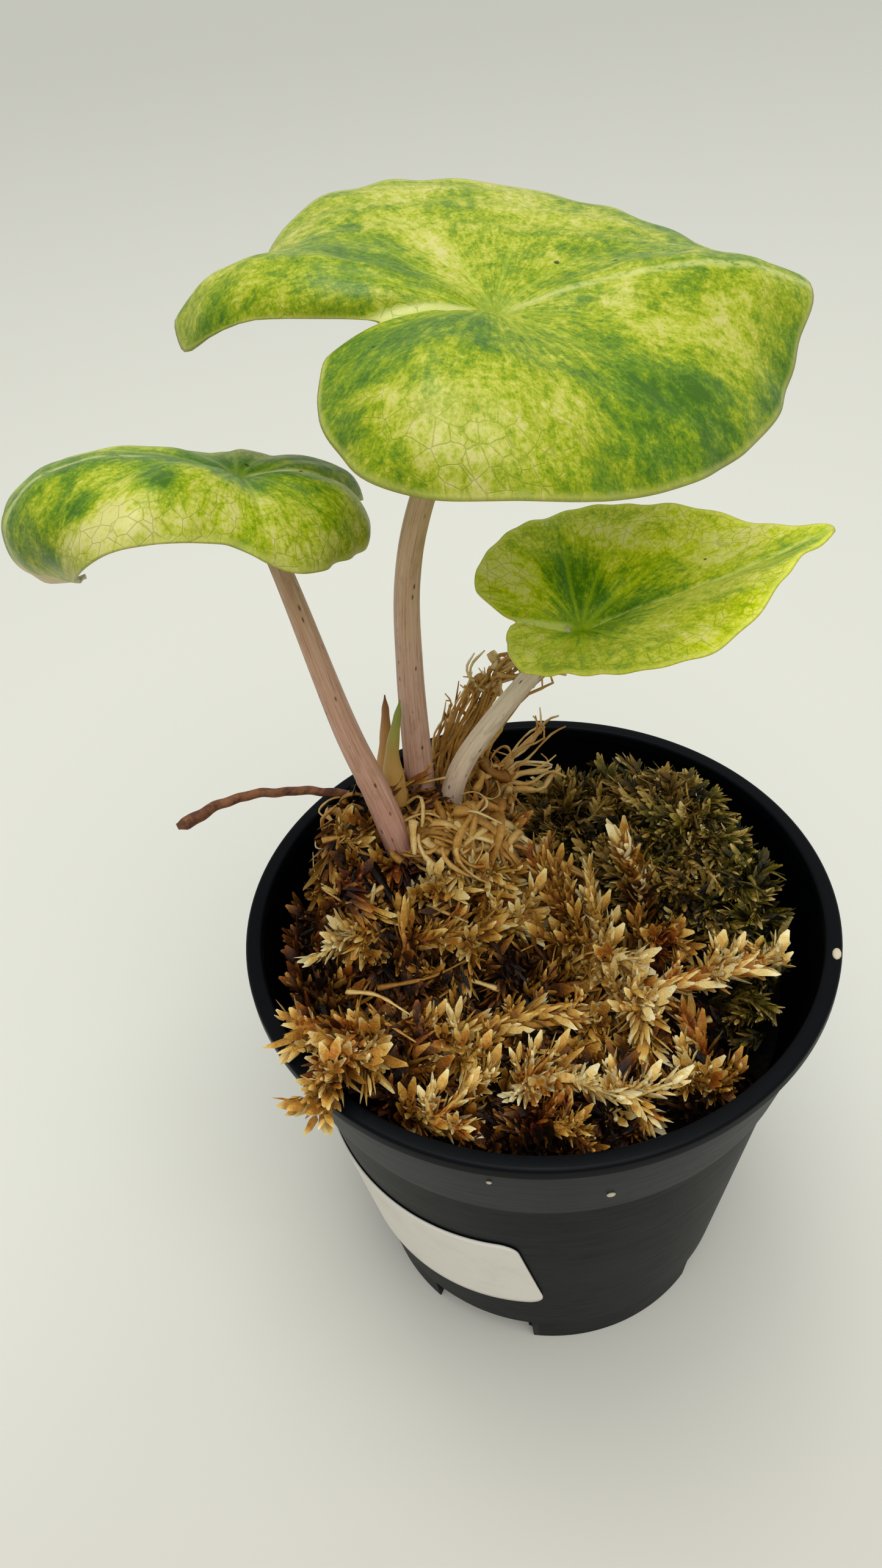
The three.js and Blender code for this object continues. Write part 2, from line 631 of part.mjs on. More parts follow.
// Moss
function heaped(level, mounds, x, y) {
  return mounds.reduce((z, [mx, my, height, spread]) => {
    const away = (x - mx) ** 2 + (y - my) ** 2;
    return z + height * Math.exp(-away / (2 * spread ** 2));
  }, level);
}

function lumps(x, y) {
  return Math.sin(0.62 * x + 0.9) * Math.cos(0.55 * y - 0.4) + 0.6 * Math.sin(0.95 * y + 0.45 * x);
}

function mossHeight(x, y) {
  const besideWall = Math.max(0, (Math.hypot(x, y) - WALL_DIP_REACH) / WALL_DIP_WIDTH);
  const relief = heaped(MOSS_LEVEL, [...MOSS_MOUNDS, ...MOSS_HOLLOWS], x, y);
  return relief + MOSS_LUMP * lumps(x, y) - WALL_DIP * besideWall ** 2;
}

function bankHeight(x, y) {
  return heaped(BANK_LEVEL, BANK_MOUNDS, x, y) + BANK_LUMP * lumps(1.3 * x, 1.3 * y);
}

// How far a place lies from the bank's edge, as a share of the bank's reach there
function bankShare(x, y) {
  const [dx, dy] = [x - BANK_CENTRE[0], y - BANK_CENTRE[1]];
  return Math.hypot(dx, dy) / around(BANK_REACH, Math.atan2(dy, dx) / DEGREE);
}

function mossBed() {
  const channelTop = CHANNEL_HEIGHT + WALL + CLEARANCE;
  const wallAt = (z) => FOOT_RADIUS + WALL_RISE * z - WALL - CLEARANCE;
  const side = [
    [0, WALL + CLEARANCE],
    [CHANNEL_INNER_RADIUS - WALL - 0.6, WALL + CLEARANCE],
    [CHANNEL_INNER_RADIUS - 0.4, channelTop],
    [wallAt(channelTop), channelTop],
    [MOSS_RADIUS, BAND_FOOT_HEIGHT - 2],
  ];
  const rings = [...Array(MOSS_RINGS + 1).keys()];
  const top = rings.map((k) => [MOSS_RADIUS * (1 - k / MOSS_RINGS), POT_HEIGHT]);
  const bed = turned([...side, ...top], MOSS_SIDES);
  const place = bed.attributes.position;
  for (let i = 0; i < place.count; i += 1) {
    if (place.getZ(i) > POT_HEIGHT - 1) {
      place.setZ(i, mossHeight(place.getX(i), place.getY(i)));
    }
  }
  return closed(bed);
}

function mossBank(bed) {
  const rings = [...Array(BANK_RINGS + 1).keys()].map((k) => k / BANK_RINGS);
  const roof = rings.map((s) => [s, 1]).reverse();
  const bank = turned([[0, 0], [1, 0], ...roof], BANK_SIDES);
  const place = bank.attributes.position;
  for (let i = 0; i < place.count; i += 1) {
    const share = Math.hypot(place.getX(i), place.getY(i));
    const heading = Math.atan2(place.getY(i), place.getX(i));
    const reach = around(BANK_REACH, heading / DEGREE) * share;
    const x = BANK_CENTRE[0] + reach * Math.cos(heading);
    const y = BANK_CENTRE[1] + reach * Math.sin(heading);
    const shoulder = Math.sqrt(Math.max(0, 1 - share ** 5));
    const roofHeight = BANK_EDGE_HEIGHT + (bankHeight(x, y) - BANK_EDGE_HEIGHT) * shoulder;
    place.setXYZ(i, x, y, place.getZ(i) > 0.5 ? roofHeight : BANK_FLOOR);
  }
  return closed(bank).subtract(bed.translate([0, 0, 2 * CLEARANCE]));
}

// A sprig: whorls of leaves on a stem, drawn as a saw-edged body that tapers to its tip
const LONG_WHORLS = [[0.8, 0], [1, 0.16], [0.5, 0.32], [0.95, 0.42], [0.42, 0.62], [0.7, 0.7]];
const SHORT_WHORLS = [[0.7, 0], [1, 0.4], [0.5, 0.56], [0.8, 0.68]];

function whorled(route, radius, sides, whorls) {
  const profile = [[0, 0], ...whorls.map(([r, share]) => [r * radius, share]), [0, 1]];
  return bent(profile, sides, route, ROUTE_STEPS);
}

// Sprigs lie and stand all over the bed in a sunflower's order, and turn back from its border
function bedSprigs() {
  const draw = draws(41);
  const sprigs = [];
  for (let i = 0; i < SPRIG_COUNT; i += 1) {
    const reach = SPRIG_REACH * Math.sqrt((i + 0.5) / SPRIG_COUNT);
    const turn = i * GOLDEN_TURN;
    const foot = [reach * Math.cos(turn), reach * Math.sin(turn)];
    const length = draw(SPRIG_LENGTH);
    const radius = draw(SPRIG_RADIUS);
    const middleLift = radius + draw(SPRIG_MIDDLE_LIFT);
    const tipLift = draw(SPRIG_TIP_LIFT);
    const aside = draw([0, 1]);
    const [least, most] = SPRIG_TURN_BACK;
    let heading = 2 * Math.PI * aside;
    if (reach > SPRIG_TURN_REACH) heading = turn + (least + (most - least) * aside) * DEGREE;
    const onBed = (share, rise) => {
      const x = foot[0] + share * length * Math.cos(heading);
      const y = foot[1] + share * length * Math.sin(heading);
      return [x, y, mossHeight(x, y) + rise];
    };
    const route = [onBed(0, -SPRIG_ROOT_DEPTH), onBed(0.5, middleLift), onBed(1, tipLift)];
    if (route.some(([x, y]) => bankShare(x, y) < SPRIG_BANK_SHARE)) continue;
    sprigs.push(whorled(route, radius, SPRIG_SIDES, SHORT_WHORLS));
  }
  return sprigs;
}

// Short tufts stand on the bank
function bankTufts() {
  const draw = draws(17);
  const tufts = [];
  for (let i = 0; i < TUFT_COUNT; i += 1) {
    const turn = i * GOLDEN_TURN;
    const reach = TUFT_REACH * Math.sqrt((i + 0.5) / TUFT_COUNT) * around(BANK_REACH, turn / DEGREE);
    const x = BANK_CENTRE[0] + reach * Math.cos(turn);
    const y = BANK_CENTRE[1] + reach * Math.sin(turn);
    const heading = draw([0, 2 * Math.PI]);
    const lean = draw(TUFT_LEAN);
    const rise = draw(TUFT_RISE);
    const radius = draw(TUFT_RADIUS);
    const at = (share, height) => [
      x + share * lean * Math.cos(heading),
      y + share * lean * Math.sin(heading),
      bankHeight(x, y) + height,
    ];
    const route = [at(0, -TUFT_ROOT_DEPTH), at(0.4, 0.5 * rise), at(1, rise)];
    tufts.push(whorled(route, radius, SPRIG_SIDES, SHORT_WHORLS));
  }
  return tufts;
}

const stalkColours = { large: STALK_PINK, left: STALK_PINK, right: STALK_CREAM };
const leafNames = Object.keys(LEAVES);

addPiece('pot', pot(), POT_PLASTIC);
addPiece('label', label(), LABEL_STOCK);
for (const name of leafNames) {
  const roomUnderBlade = blade(LEAVES[name], BLADE_THICKNESS + 2 * CLEARANCE);
  addPiece(`blade_${name}`, blade(LEAVES[name], BLADE_THICKNESS), LEAF_GREEN);
  addPiece(`petiole_${name}`, largest(stalk(name, 0).subtract(roomUnderBlade)), stalkColours[name]);
}
addPiece('corm', corm(0), CORM_BROWN);
addPiece('sheath_brown', spike(SHEATH_BROWN, 0), SHEATH_TAN);
addPiece('sheath_green', spike(SHEATH_GREEN, 0), SPEAR_GREEN);
addPiece('dry_root', dryRoot(0), ROOT_BROWN);

const bed = mossBed();
const strands = STRANDS.map(({ route, radius }) => whorled(route, radius, STRAND_SIDES, LONG_WHORLS));
const holes = [
  ...leafNames.map((name) => stalk(name, CLEARANCE).translate([0, 0, -2 * CLEARANCE])),
  spike(SHEATH_BROWN, CLEARANCE),
  spike(SHEATH_GREEN, CLEARANCE),
  dryRoot(CLEARANCE),
  corm(CLEARANCE),
];
const planted = [...bedSprigs(), ...strands].reduce((moss, sprig) => moss.add(sprig), bed);
const tan = holes.reduce((moss, hole) => moss.subtract(hole), planted);
const olive = bankTufts().reduce((moss, tuft) => moss.add(tuft), mossBank(bed));
addPiece('moss_tan', largest(tan.simplify(MOSS_DETAIL)), MOSS_TAN);
addPiece('moss_green', largest(olive.simplify(MOSS_DETAIL)), MOSS_OLIVE);

export default pieces;
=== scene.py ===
"""The looks of a young potted alocasia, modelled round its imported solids.

Lengths in tables are millimetres in the frame of the solids: the origin is the middle of the
pot's base, +Z is up and -Y is the front. Every mesh is made in metres in the same frame.
"""

import math

import bmesh
import bpy
from mathutils import Matrix, Vector


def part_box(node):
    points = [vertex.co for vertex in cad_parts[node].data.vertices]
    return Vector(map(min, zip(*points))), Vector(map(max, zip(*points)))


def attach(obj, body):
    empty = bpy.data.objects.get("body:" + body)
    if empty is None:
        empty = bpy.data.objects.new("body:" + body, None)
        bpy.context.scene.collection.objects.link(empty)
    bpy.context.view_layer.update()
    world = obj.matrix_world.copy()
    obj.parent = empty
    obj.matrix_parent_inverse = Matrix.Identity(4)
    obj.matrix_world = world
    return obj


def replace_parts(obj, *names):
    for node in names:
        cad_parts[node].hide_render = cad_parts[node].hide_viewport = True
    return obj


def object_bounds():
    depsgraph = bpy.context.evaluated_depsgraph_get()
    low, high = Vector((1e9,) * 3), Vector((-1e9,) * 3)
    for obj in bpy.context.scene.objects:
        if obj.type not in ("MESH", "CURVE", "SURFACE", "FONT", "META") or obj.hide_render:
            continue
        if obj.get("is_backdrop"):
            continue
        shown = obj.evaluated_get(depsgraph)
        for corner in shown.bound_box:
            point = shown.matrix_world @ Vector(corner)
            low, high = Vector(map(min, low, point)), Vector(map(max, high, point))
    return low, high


bl_info = {
    "name": "Potted alocasia",
    "version": (1, 0, 0),
    "blender": (4, 5, 0),
    "location": "View3D > Sidebar > Plant",
    "description": "Leaves, stalks, moss and nursery pot of a young marbled alocasia",
    "category": "Add Mesh",
}

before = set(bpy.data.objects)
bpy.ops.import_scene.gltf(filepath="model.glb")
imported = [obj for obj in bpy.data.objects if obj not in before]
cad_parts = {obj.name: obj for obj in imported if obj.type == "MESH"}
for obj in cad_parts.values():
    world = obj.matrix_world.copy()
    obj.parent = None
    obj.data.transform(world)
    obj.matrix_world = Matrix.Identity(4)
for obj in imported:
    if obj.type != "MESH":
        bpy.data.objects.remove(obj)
CAD_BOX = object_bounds()

MM = 0.001
GOLDEN_TURN = math.pi * (3 - math.sqrt(5))

# Pot
POT_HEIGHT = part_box("pot")[1].z / MM
RIM_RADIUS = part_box("pot")[1].y / MM
RIM_DEPTH = 2.2
WALL = 1.2
FOOT_RADIUS = 31.6
BAND_FOOT_HEIGHT = 61.6
BAND_FOOT_RADIUS = 41
BAND_TOP_RADIUS = 44.2
WALL_TOP_RADIUS = 40
WALL_RISE = (WALL_TOP_RADIUS - FOOT_RADIUS) / BAND_FOOT_HEIGHT
SKIRT_HEIGHT = 8.1
CHANNEL_INNER_RADIUS = 22
CHANNEL_OUTER_RADIUS = 29.8
CHANNEL_HEIGHT = 7.5
NOTCH_HEIGHT = 7
NOTCH_ANGLE = 34
NOTCH_HEADINGS = (-119, -29, 61, 151)
DRAIN_RADIUS = 2.5
RIM_WIDTH = 2.5
RIM_BEAD = 0.6
EDGE = 0.3
CLEARANCE = 0.35
SHARP_ANGLE = 35
LABEL_SHARP_ANGLE = 40

# Label, on the unrolled wall
LABEL_LENGTH = 66.7
LABEL_HEIGHT = 25.4
LABEL_CORNER = 3
LABEL_GAP = 0.25
LABEL_HEADING = -153.6
LABEL_MIDDLE_HEIGHT = 30.8
LABEL_TILT = 1.7

PERLITE = (
    # place, size across, along and over the rim
    ((41.3, -15.6, 80), (1.3, 2.2, 0.7)),
    ((4.1, -42.25, 68), (0.5, 1.3, 0.8)),
    ((-12, -42, 74), (0.4, 0.8, 0.5)),
)

# Leaves. A rib leaves the stalk at its heading, in degrees from the tip, positive to the left
# of it seen from above. It starts at its lift and ends at its droop, in degrees above level,
# and bends sideways by its sweep.
LEAVES = {
    "large": {
        "joint": (-1, 11.5, 166.5), "turn": 14, "pitch": -3, "roll": 10,
        "notch_depth": 0.45, "notch_width": 11, "point": 2.4, "point_width": 7,
        "ribs": (
            # heading, length, lift, droop, sweep
            (-165, 24, 15, -35, -5), (-150, 29.5, 20, -55, 0), (-130, 36, 25, -65, 5),
            (-105, 34, 20, -55, 5), (-75, 32, 10, -60, 5), (-45, 34, 5, -60, 5),
            (-20, 38, 5, -55, 5), (0, 40, 10, -35, 0), (20, 41, 5, -35, 0),
            (45, 36, 5, -25, 0), (75, 34, 5, -15, 5), (105, 38, 5, -20, 5),
            (130, 40, 10, -60, 0), (142, 43, 12, -62, -4), (150, 43.5, 15, -66, -8),
            (158, 42, 15, -72, -10), (167, 31, 15, -40, -10),
        ),
    },
    "left": {
        "joint": (-33.5, 13, 149.5), "turn": 194, "pitch": 11, "roll": -11,
        "notch_depth": 0.3, "notch_width": 13, "point": 1, "point_width": 8,
        "ribs": (
            (-165, 24, 0, -75, 0), (-150, 24, -5, -80, 0), (-130, 20, -10, -90, 0),
            (-105, 17, -10, -90, 0), (-75, 19, -15, -70, 0), (-45, 27, -5, -65, 5),
            (-20, 43, 5, -130, 10), (0, 46.5, 20, -195, 10), (20, 37, 30, -150, 5),
            (45, 27, 35, -55, 0), (75, 18, 30, -40, -5), (105, 19, 20, -65, -5),
            (130, 20, 20, -90, 0), (150, 22, 20, -105, 0), (165, 22, 15, -90, 0),
        ),
    },
    "right": {
        "joint": (9, 13.5, 121), "turn": -1, "pitch": 2, "roll": 3,
        "notch_depth": 0.3, "notch_width": 13, "point": 2.5, "point_width": 7,
        "ribs": (
            (-160, 12, 15, 20, 0), (-130, 16, 15, 15, 0), (-90, 18, 20, 15, 0),
            (-50, 25, 25, 10, 0), (-20, 30, 25, 25, 0), (0, 33, 15, 25, 0),
            (20, 29, 15, 10, 0), (50, 23, 25, 5, 0), (90, 20, 30, 0, 0),
            (130, 18, 30, 5, 0), (160, 16, 20, 15, 0),
        ),
    },
}

# Where the marbling is paler (above nought) or darker: x to the tip and y to the left of it
MARBLING = {
    "large": (
        # x, y, width, depth, amount
        (15, -18, 8, 4.5, -0.16), (16, -27, 18, 5, -0.12), (-9, -25, 10, 7, 0.17), (23, -9, 9, 5, 0.1),
        (-3, 13, 3, 11, 0.16), (10, 17, 8, 7, 0.12), (-13, 9, 8, 6, -0.08), (-9, -10, 9, 5, -0.1),
        (34, -12, 6, 9, -0.08), (4, 30, 22, 4, 0.08), (3, 0, 4, 3, 0.1), (-24, 24, 9, 9, 0.02),
    ),
    "left": (
        (14, 0, 26, 5, -0.12), (20, 14, 14, 6, 0.2), (-8, 14, 10, 7, 0.1), (38, 12, 7, 7, 0.16),
        (29, 11, 2.6, 3, -0.28), (21, 10, 3.2, 2.6, -0.24), (12, 11, 2.6, 3, -0.22), (2, 0, 6, 6, -0.14),
        (-16, 6, 8, 10, 0.06), (8, -12, 16, 5, 0.06),
    ),
    "right": (
        (0, 6, 5, 7, -0.16), (8, 1, 9, 3.5, -0.12), (-12, 9, 7, 8, 0.08), (11, 14, 9, 4, 0.12),
        (24, 6, 8, 4, 0.08), (2, -5, 6, 4, -0.08), (16, -9, 9, 4, 0.02), (-6, -7, 5, 4, 0.05),
    ),
}

MARBLED_GREENS = (
    (0.28, 0x3A6200), (0.4, 0x527800), (0.5, 0x6E8A04), (0.58, 0x8A9C14),
    (0.66, 0xA3AC34), (0.76, 0xB8BA56), (0.88, 0xC6C27A),
)
UNDERSIDE_GREENS = ((0.3, 0x55820A), (0.5, 0x74981C), (0.7, 0x98B040))
# Veins fan out from the stalk, so many to pi radians, and bend by some radians to each mm
VEIN_FAN = 5.5
VEIN_BEND = 0.006
VEIN_PRESS = 0.3
VEIN_WIDTH = 0.9
VEIN_REACH = 14
MIDRIB_PRESS = 0.7
MIDRIB_WIDTH = 1.6
MIDRIB_REACH = 26
QUILT_HEIGHT = 0.16
QUILT_START = 8
RIPPLE_HEIGHT = 0.3
RIPPLE_REACH = 3

# Stalks, from the moss up to the joint under each blade, with their diameters
STALKS = {
    "large": {
        "foot": 5, "head": 2.5,
        "route": (
            (-16.4, 20.2, 75.4), (-16, 20, 88), (-15.4, 16, 115), (-14.2, 13, 132), (-11.4, 11, 144),
        ),
    },
    "left": {
        "foot": 4.9, "head": 2.3,
        "route": (
            (-18.8, 12, 75.4), (-20.3, 10.4, 86), (-22.4, 10.4, 97), (-25.3, 10.5, 109), (-30.2, 10.5, 137),
        ),
    },
    "right": {
        "foot": 4, "head": 2.4,
        "route": (
            (-12, 17.4, 75.4), (-11.2, 17.8, 88), (-8.9, 17, 95.5), (-4.7, 16, 103), (2.5, 14.5, 113.5),
        ),
    },
}
STALK_FLARE = 0.4
STALK_JOINT_GAP = 1.3
SPIKE_RADIUS = 2.0
SPIKE_SWELL = ((0, 0.6), (0.3, 1), (0.5, 0.85), (0.7, 0.5), (0.9, 0.3), (1.0, 0.06))
SHEATH_BROWN = ((-20.8, 20.9, 78), (-20.9, 20.9, 90), (-20.7, 21.5, 96.5), (-20.3, 21.5, 106.5))
SHEATH_GREEN = ((-19.4, 16.9, 78), (-19.6, 16.3, 91), (-19.6, 15.5, 100), (-17.9, 14.2, 111))
DRY_ROOT_RADIUS = 1.1
DRY_ROOT_TAPER = ((0, 0.6), (0.25, 0.65), (0.5, 0.7), (0.75, 0.75), (0.96, 1), (1, 0.5))
DRY_ROOT = ((-22, 24.5, 81), (-30, 25, 84.8), (-38, 26, 85.4), (-47, 25.5, 85.5), (-56.5, 21, 84.6))

# Moss
MOSS_LEVEL = 66
MOSS_RADIUS = 38.2
MOSS_LUMP = 1.3
WALL_DIP = 3
WALL_DIP_REACH = 31
WALL_DIP_WIDTH = 7
MOSS_MOUNDS = (
    # x, y, height, spread
    (-16, 17, 19, 9),
    (-29, 21, 12, 7),
    (-7, -3, 11, 10),
    (14, -9, 5, 7),
    (-26, -3, 8, 5.5),
    (-29, -22, 11, 6),
    (-16, -30, 7, 8),
    (6, -35, 9, 8),
    (20, -28, 4, 6),
    (24, 13, -6, 11),
    (-34, 3, 7, 6),
)
MOSS_HOLLOWS = (
    (-23, 6, -4, 2.6),
    (-4, 7.5, -5, 3.2),
    (-12.5, -11, -4, 3.2),
    (-1, -12.5, -4, 3),
    (-21, -23, -4, 3.5),
    (-10, -29, -3, 3),
    (12, -22, -4, 3.5),
    (25, -21, -5, 4.5),
)
BANK_CENTRE = (22, 13)
BANK_REACH = (
    # heading, reach from the bank's centre
    (-177, 16), (-155, 10), (-130, 9), (-108, 10), (-94, 17), (-79, 24), (-62, 26),
    (-35, 20), (0, 14), (48, 13), (90, 18.5), (118, 24), (136, 28), (156, 23),
)
BANK_FLOOR = 62.5
BANK_LEVEL = 73
BANK_LUMP = 0.9
# Past the bank's shoulder, as a share of its reach, tufts and threads sink at these slopes
BANK_SHOULDER = 0.8
TUFT_SINK = 18
THREAD_SINK = 14
BANK_MOUNDS = ((27, 21, 6, 8), (34, 2, 3, 7), (10, 26, 2, 6), (26, -6, -2, 5))
STRANDS = (
    # radius, tone from dark to light, kind of sprig, route
    # across the front
    (2, 0.7, "catkin", (
        (-28, -13, 71), (-18, -19, 75), (-9, -19.5, 76.5), (-0.5, -17.8, 76.5), (6, -19, 75))),
    # across the right, and its branch that hooks down
    (2.1, 0.78, "catkin", (
        (5, -15, 72), (11, -16, 76.5), (19, -16.5, 78.5), (27, -15.5, 79), (34.5, -13.8, 78))),
    (2, 0.8, "ragged", ((9, -15, 73), (11.6, -19, 79), (12, -24, 77.5), (11.7, -27.5, 73.5))),
    # upright, before the bank
    (2.4, 0.62, "tipped", ((16, -2, 71), (15.6, -1.4, 80), (14.8, -1.5, 86), (12.4, -1, 93))),
    (2.2, 0.5, "catkin", ((3.5, -7, 74), (2.6, -3, 82), (2, 1.5, 86))),
    (1.9, 0.48, "catkin", ((5.5, -8, 74), (5.2, -5.5, 81), (4.2, -3.5, 85.2))),
    (1.8, 0.72, "catkin", ((8, -9, 74), (8.2, -6, 82), (7, -4, 86))),
    (2, 0.45, "lax", ((12, -7, 73), (17, -8, 79), (19.5, -9, 81))),
    # over the middle
    (2.2, 0.55, "lax", ((-22, -1, 73), (-18, -4.5, 79.5), (-12.5, -4.8, 80.5))),
    (2.2, 0.64, "lax", ((-14, -6, 75), (-8, -4.5, 81), (0, -3.5, 81.5))),
    (2.4, 0.7, "catkin", ((-10, 7, 76), (-6.8, 5, 83), (-3, 0.5, 82))),
    (2, 0.7, "ragged", ((-19, 5, 74), (-15, 3.5, 82.5), (-11, 1, 82))),
    (2.4, 0.72, "lax", ((2, -8, 73), (8, -11, 79), (13, -13.5, 79.5))),
    (2.3, 0.55, "lax", ((-23, 5, 72), (-25, 0, 80), (-28, -6, 79.5))),
    (2, 0.78, "ragged", ((-24, -2, 75), (-28, -2.5, 80), (-31.5, -3.5, 80))),
    # over the front
    (1.8, 0.72, "ragged", ((-15, -19, 72), (-13.5, -25, 76.5), (-12.6, -29, 76))),
    (2, 0.8, "lax", ((-8, -26, 71), (-4, -29.5, 77), (1.5, -31, 78.5), (5, -32.5, 77.5))),
    (1.9, 0.78, "lax", ((4, -30, 73), (8, -34, 77.5), (10.5, -37.5, 76))),
    (1.9, 0.68, "lax", ((-23, -29, 71), (-19, -33, 76), (-14, -35.5, 76))),
    (1.7, 0.5, "lax", ((-5, -32, 71), (-2, -36.5, 76.5), (1, -38, 76))),
    (2, 0.62, "catkin", ((16, -27, 70), (17.3, -29, 74), (18, -31, 76))),
    (1.7, 0.45, "catkin", ((20, -28, 69), (21, -31, 73), (22, -33, 74.5))),
    # clump that leans over the rim
    (2.2, 0.62, "ragged", ((-27, -19, 74), (-30, -27, 83.4), (-32, -32, 83), (-33, -35.5, 81.6))),
    (2, 0.6, "ragged", ((-29, -18, 74), (-33.5, -22.5, 83.4), (-37.5, -24.5, 83.4))),
    (2.2, 0.66, "ragged", ((-26, -18, 74), (-27.5, -24, 82), (-25, -31, 82.6))),
    # beside the crown
    (1.9, 0.55, "lax", ((-31, 21, 76), (-30, 14, 84.5), (-27, 7, 82), (-26, 3, 75))),
)
FIBRES = (
    # radius, tone, route
    # tuft behind the stalks
    (1.5, 0.5, ((-12, 24.5, 76), (-11, 23.6, 91), (-6, 24, 104.5))),
    (1.5, 0.55, ((-9, 25.5, 74), (-8, 24.5, 92), (-2.5, 26, 105), (1.5, 25.5, 108))),
    (1.3, 0.6, ((-7, 26, 72), (-5.5, 25, 90), (-0.5, 26.5, 100), (5.5, 26.5, 103.5))),
    (1.4, 0.46, ((-13, 26.5, 76), (-13, 26.5, 90), (-9.5, 27.5, 99))),
    (1.3, 0.5, ((-11, 25, 75), (-9.5, 24, 92), (-3.5, 25.5, 103.5))),
    # loops before the stalks
    (1.5, 0.48, ((-17, 13, 81), (-15.5, 9.5, 89), (-10.5, 7.5, 87.5), (-8, 5, 79))),
    (1.5, 0.52, ((-12, 15, 82), (-10, 11, 90), (-5, 8, 87), (-1, 5, 80))),
    (1.5, 0.5, ((-8, 15, 78), (-6, 12.5, 87), (-1, 8, 84), (5, 4, 79))),
    (1.6, 0.42, ((-22, 2, 72), (-18, 3, 81), (-13, 3.5, 82), (-9, 1, 76))),
    # long brown stem that comes out of the crown to the right
    (0.6, 0.25, ((-9, 10, 87), (-4, 8, 86), (3, 5.6, 83.5), (8.5, 3.5, 80.5))),
)
DEAD_LEAF = (
    # radius, route of the dark shreds left of the crown
    (1.1, ((-31.5, 12.9, 84), (-27, 11, 85.5), (-24, 6, 83.5), (-21, 1, 80))),
    (0.8, ((-30.5, 10, 84), (-27, 6, 84.5), (-25, 3, 82), (-24, -1, 79.5))),
)
HORNS = (
    # radius, route of the smooth horns to the right of the tuft
    (1.5, ((-8, 21.5, 76), (-2.5, 24, 87.5), (5, 26, 93.5))),
    (1.7, ((-7, 21, 76), (-1.5, 23, 86), (5.2, 24.5, 85.5))),
)
TANGLES = (
    # centre, spread, loop radius, fibres, tone
    ((-14, 10.5, 86.5), (4.5, 3, 2.4), 4.2, 34, 0.5),
    ((-9, 8.5, 86.5), (2.4, 2.2, 1.6), 4.4, 20, 0.56),
    ((-4, 7.5, 84), (3.5, 3, 1.5), 2.8, 12, 0.5),
    ((-28.5, 17, 82.5), (3.2, 6, 3), 4, 32, 0.48),
    ((-5, 22, 85), (3.5, 3, 4), 3.4, 24, 0.44),
    ((-2, 25.5, 104.5), (3, 1.5, 1.5), 2.4, 12, 0.62),
)
HORN_TONE = 0.6
HORN_FIBRES = 6
TUFT_FIBRES = 9
DARK_TONE = -0.12
BED_THREAD_COUNT = 50
BED_THREAD_REACH = 34
BANK_THREAD_COUNT = 70
SPRIGS = {
    # leaves, reach of a leaf's tip, leaf length, leaf width, flare, seed, stem, paling to the end
    "catkin": (60, 1.0, 0.17, 0.38, 1.5, 3, 0.5, 0.1),
    "tipped": (54, 1.2, 0.2, 0.4, 1.5, 15, 0.5, 0.75),
    "lax": (46, 1.3, 0.19, 0.4, 1.3, 5, 0.45, 0.1),
    "ragged": (42, 1.55, 0.2, 0.4, 1.2, 7, 0.45, 0.1),
    "broad": (14, 1.05, 0.34, 0.6, 1.7, 23, 0.5, 0.1),
    "short": (20, 1.3, 0.34, 0.44, 1.3, 29, 0.45, 0.1),
    "fine": (20, 1.25, 0.34, 0.5, 1.5, 11, 0.45, 0.1),
    "fine_ragged": (18, 1.5, 0.36, 0.48, 1.3, 13, 0.45, 0.1),
}
SPRIG_REACH = 37.5
FINE_SPRIG_REACH = 39
SPRIG_COUNT = 70
SPRIG_LENGTH = (9, 16)
SPRIG_RADIUS = (1.2, 2.1)
SPRIG_MIDDLE_LIFT = (1, 3)
SPRIG_TIP_LIFT = (1.5, 5.5)
SPRIG_ROOT_DEPTH = 2
# Past this reach a sprig turns back, by degrees between these
SPRIG_TURN_REACH = 22
SPRIG_TURN_BACK = (99, 261)
SPRIG_BANK_SHARE = 1.2
WALL_SPRIG_COUNT = 48
WALL_SPRIG_HEADINGS = (142, 288)
WALL_SPRIG_REACH = (34.5, 38.5)
WALL_SPRIG_TOP = (72.5, 76.5)
TUFT_COUNT = 40
TUFT_REACH = 0.9
TUFT_LEAN = (1.5, 4.5)
TUFT_RISE = (1.5, 4)
TUFT_RADIUS = (1, 1.6)
TUFT_ROOT_DEPTH = 3
TUFT_WALL_REACH = 38.4
TAN_TONES = (
    (0.02, 0x150900), (0.2, 0x4A2604), (0.36, 0x7E4C10), (0.5, 0xA87624),
    (0.64, 0xC69A44), (0.8, 0xDCC078), (0.98, 0xECDEAC),
)
THREAD_TONES = (
    (0.1, 0x4E300A), (0.35, 0x996A26), (0.55, 0xC49446), (0.75, 0xDCBC78), (0.95, 0xEFE0B4),
)
OLIVE_TONES = (
    (0.02, 0x110D02), (0.2, 0x3A2C06), (0.36, 0x644A12), (0.5, 0x886824),
    (0.64, 0xA6843A), (0.8, 0xBC9F56), (0.96, 0xD4C080),
)

# Camera, as the photograph was taken
CAMERA_PLACE = (-12.7, -121.6, 215.5)
CAMERA_PITCH = 41.82
CAMERA_ROLL = -6.08
PHOTO_FOCUS_PIXELS = 1930
PHOTO_HEIGHT_PIXELS = 2569
SENSOR = 36

# Stage, in metres and degrees
FLOOR_SIZE = 4
KEY_TILT = (24, 6, 0)
KEY_ANGLE = 50
OVERHEAD_PLACE = (-0.02, 0.06, 0.6)
OVERHEAD_SIZE = 0.25
OVERHEAD_AIM = (0, 0, 0.08)


# Colours, numbers and routes


def linear(hex_colour):
    """A linear RGBA colour from an sRGB hex value."""
    channels = []
    for shift in (16, 8, 0):
        value = ((hex_colour >> shift) & 255) / 255
        channels.append(value / 12.92 if value <= 0.04045 else ((value + 0.055) / 1.055) ** 2.4)
    return (*channels, 1.0)


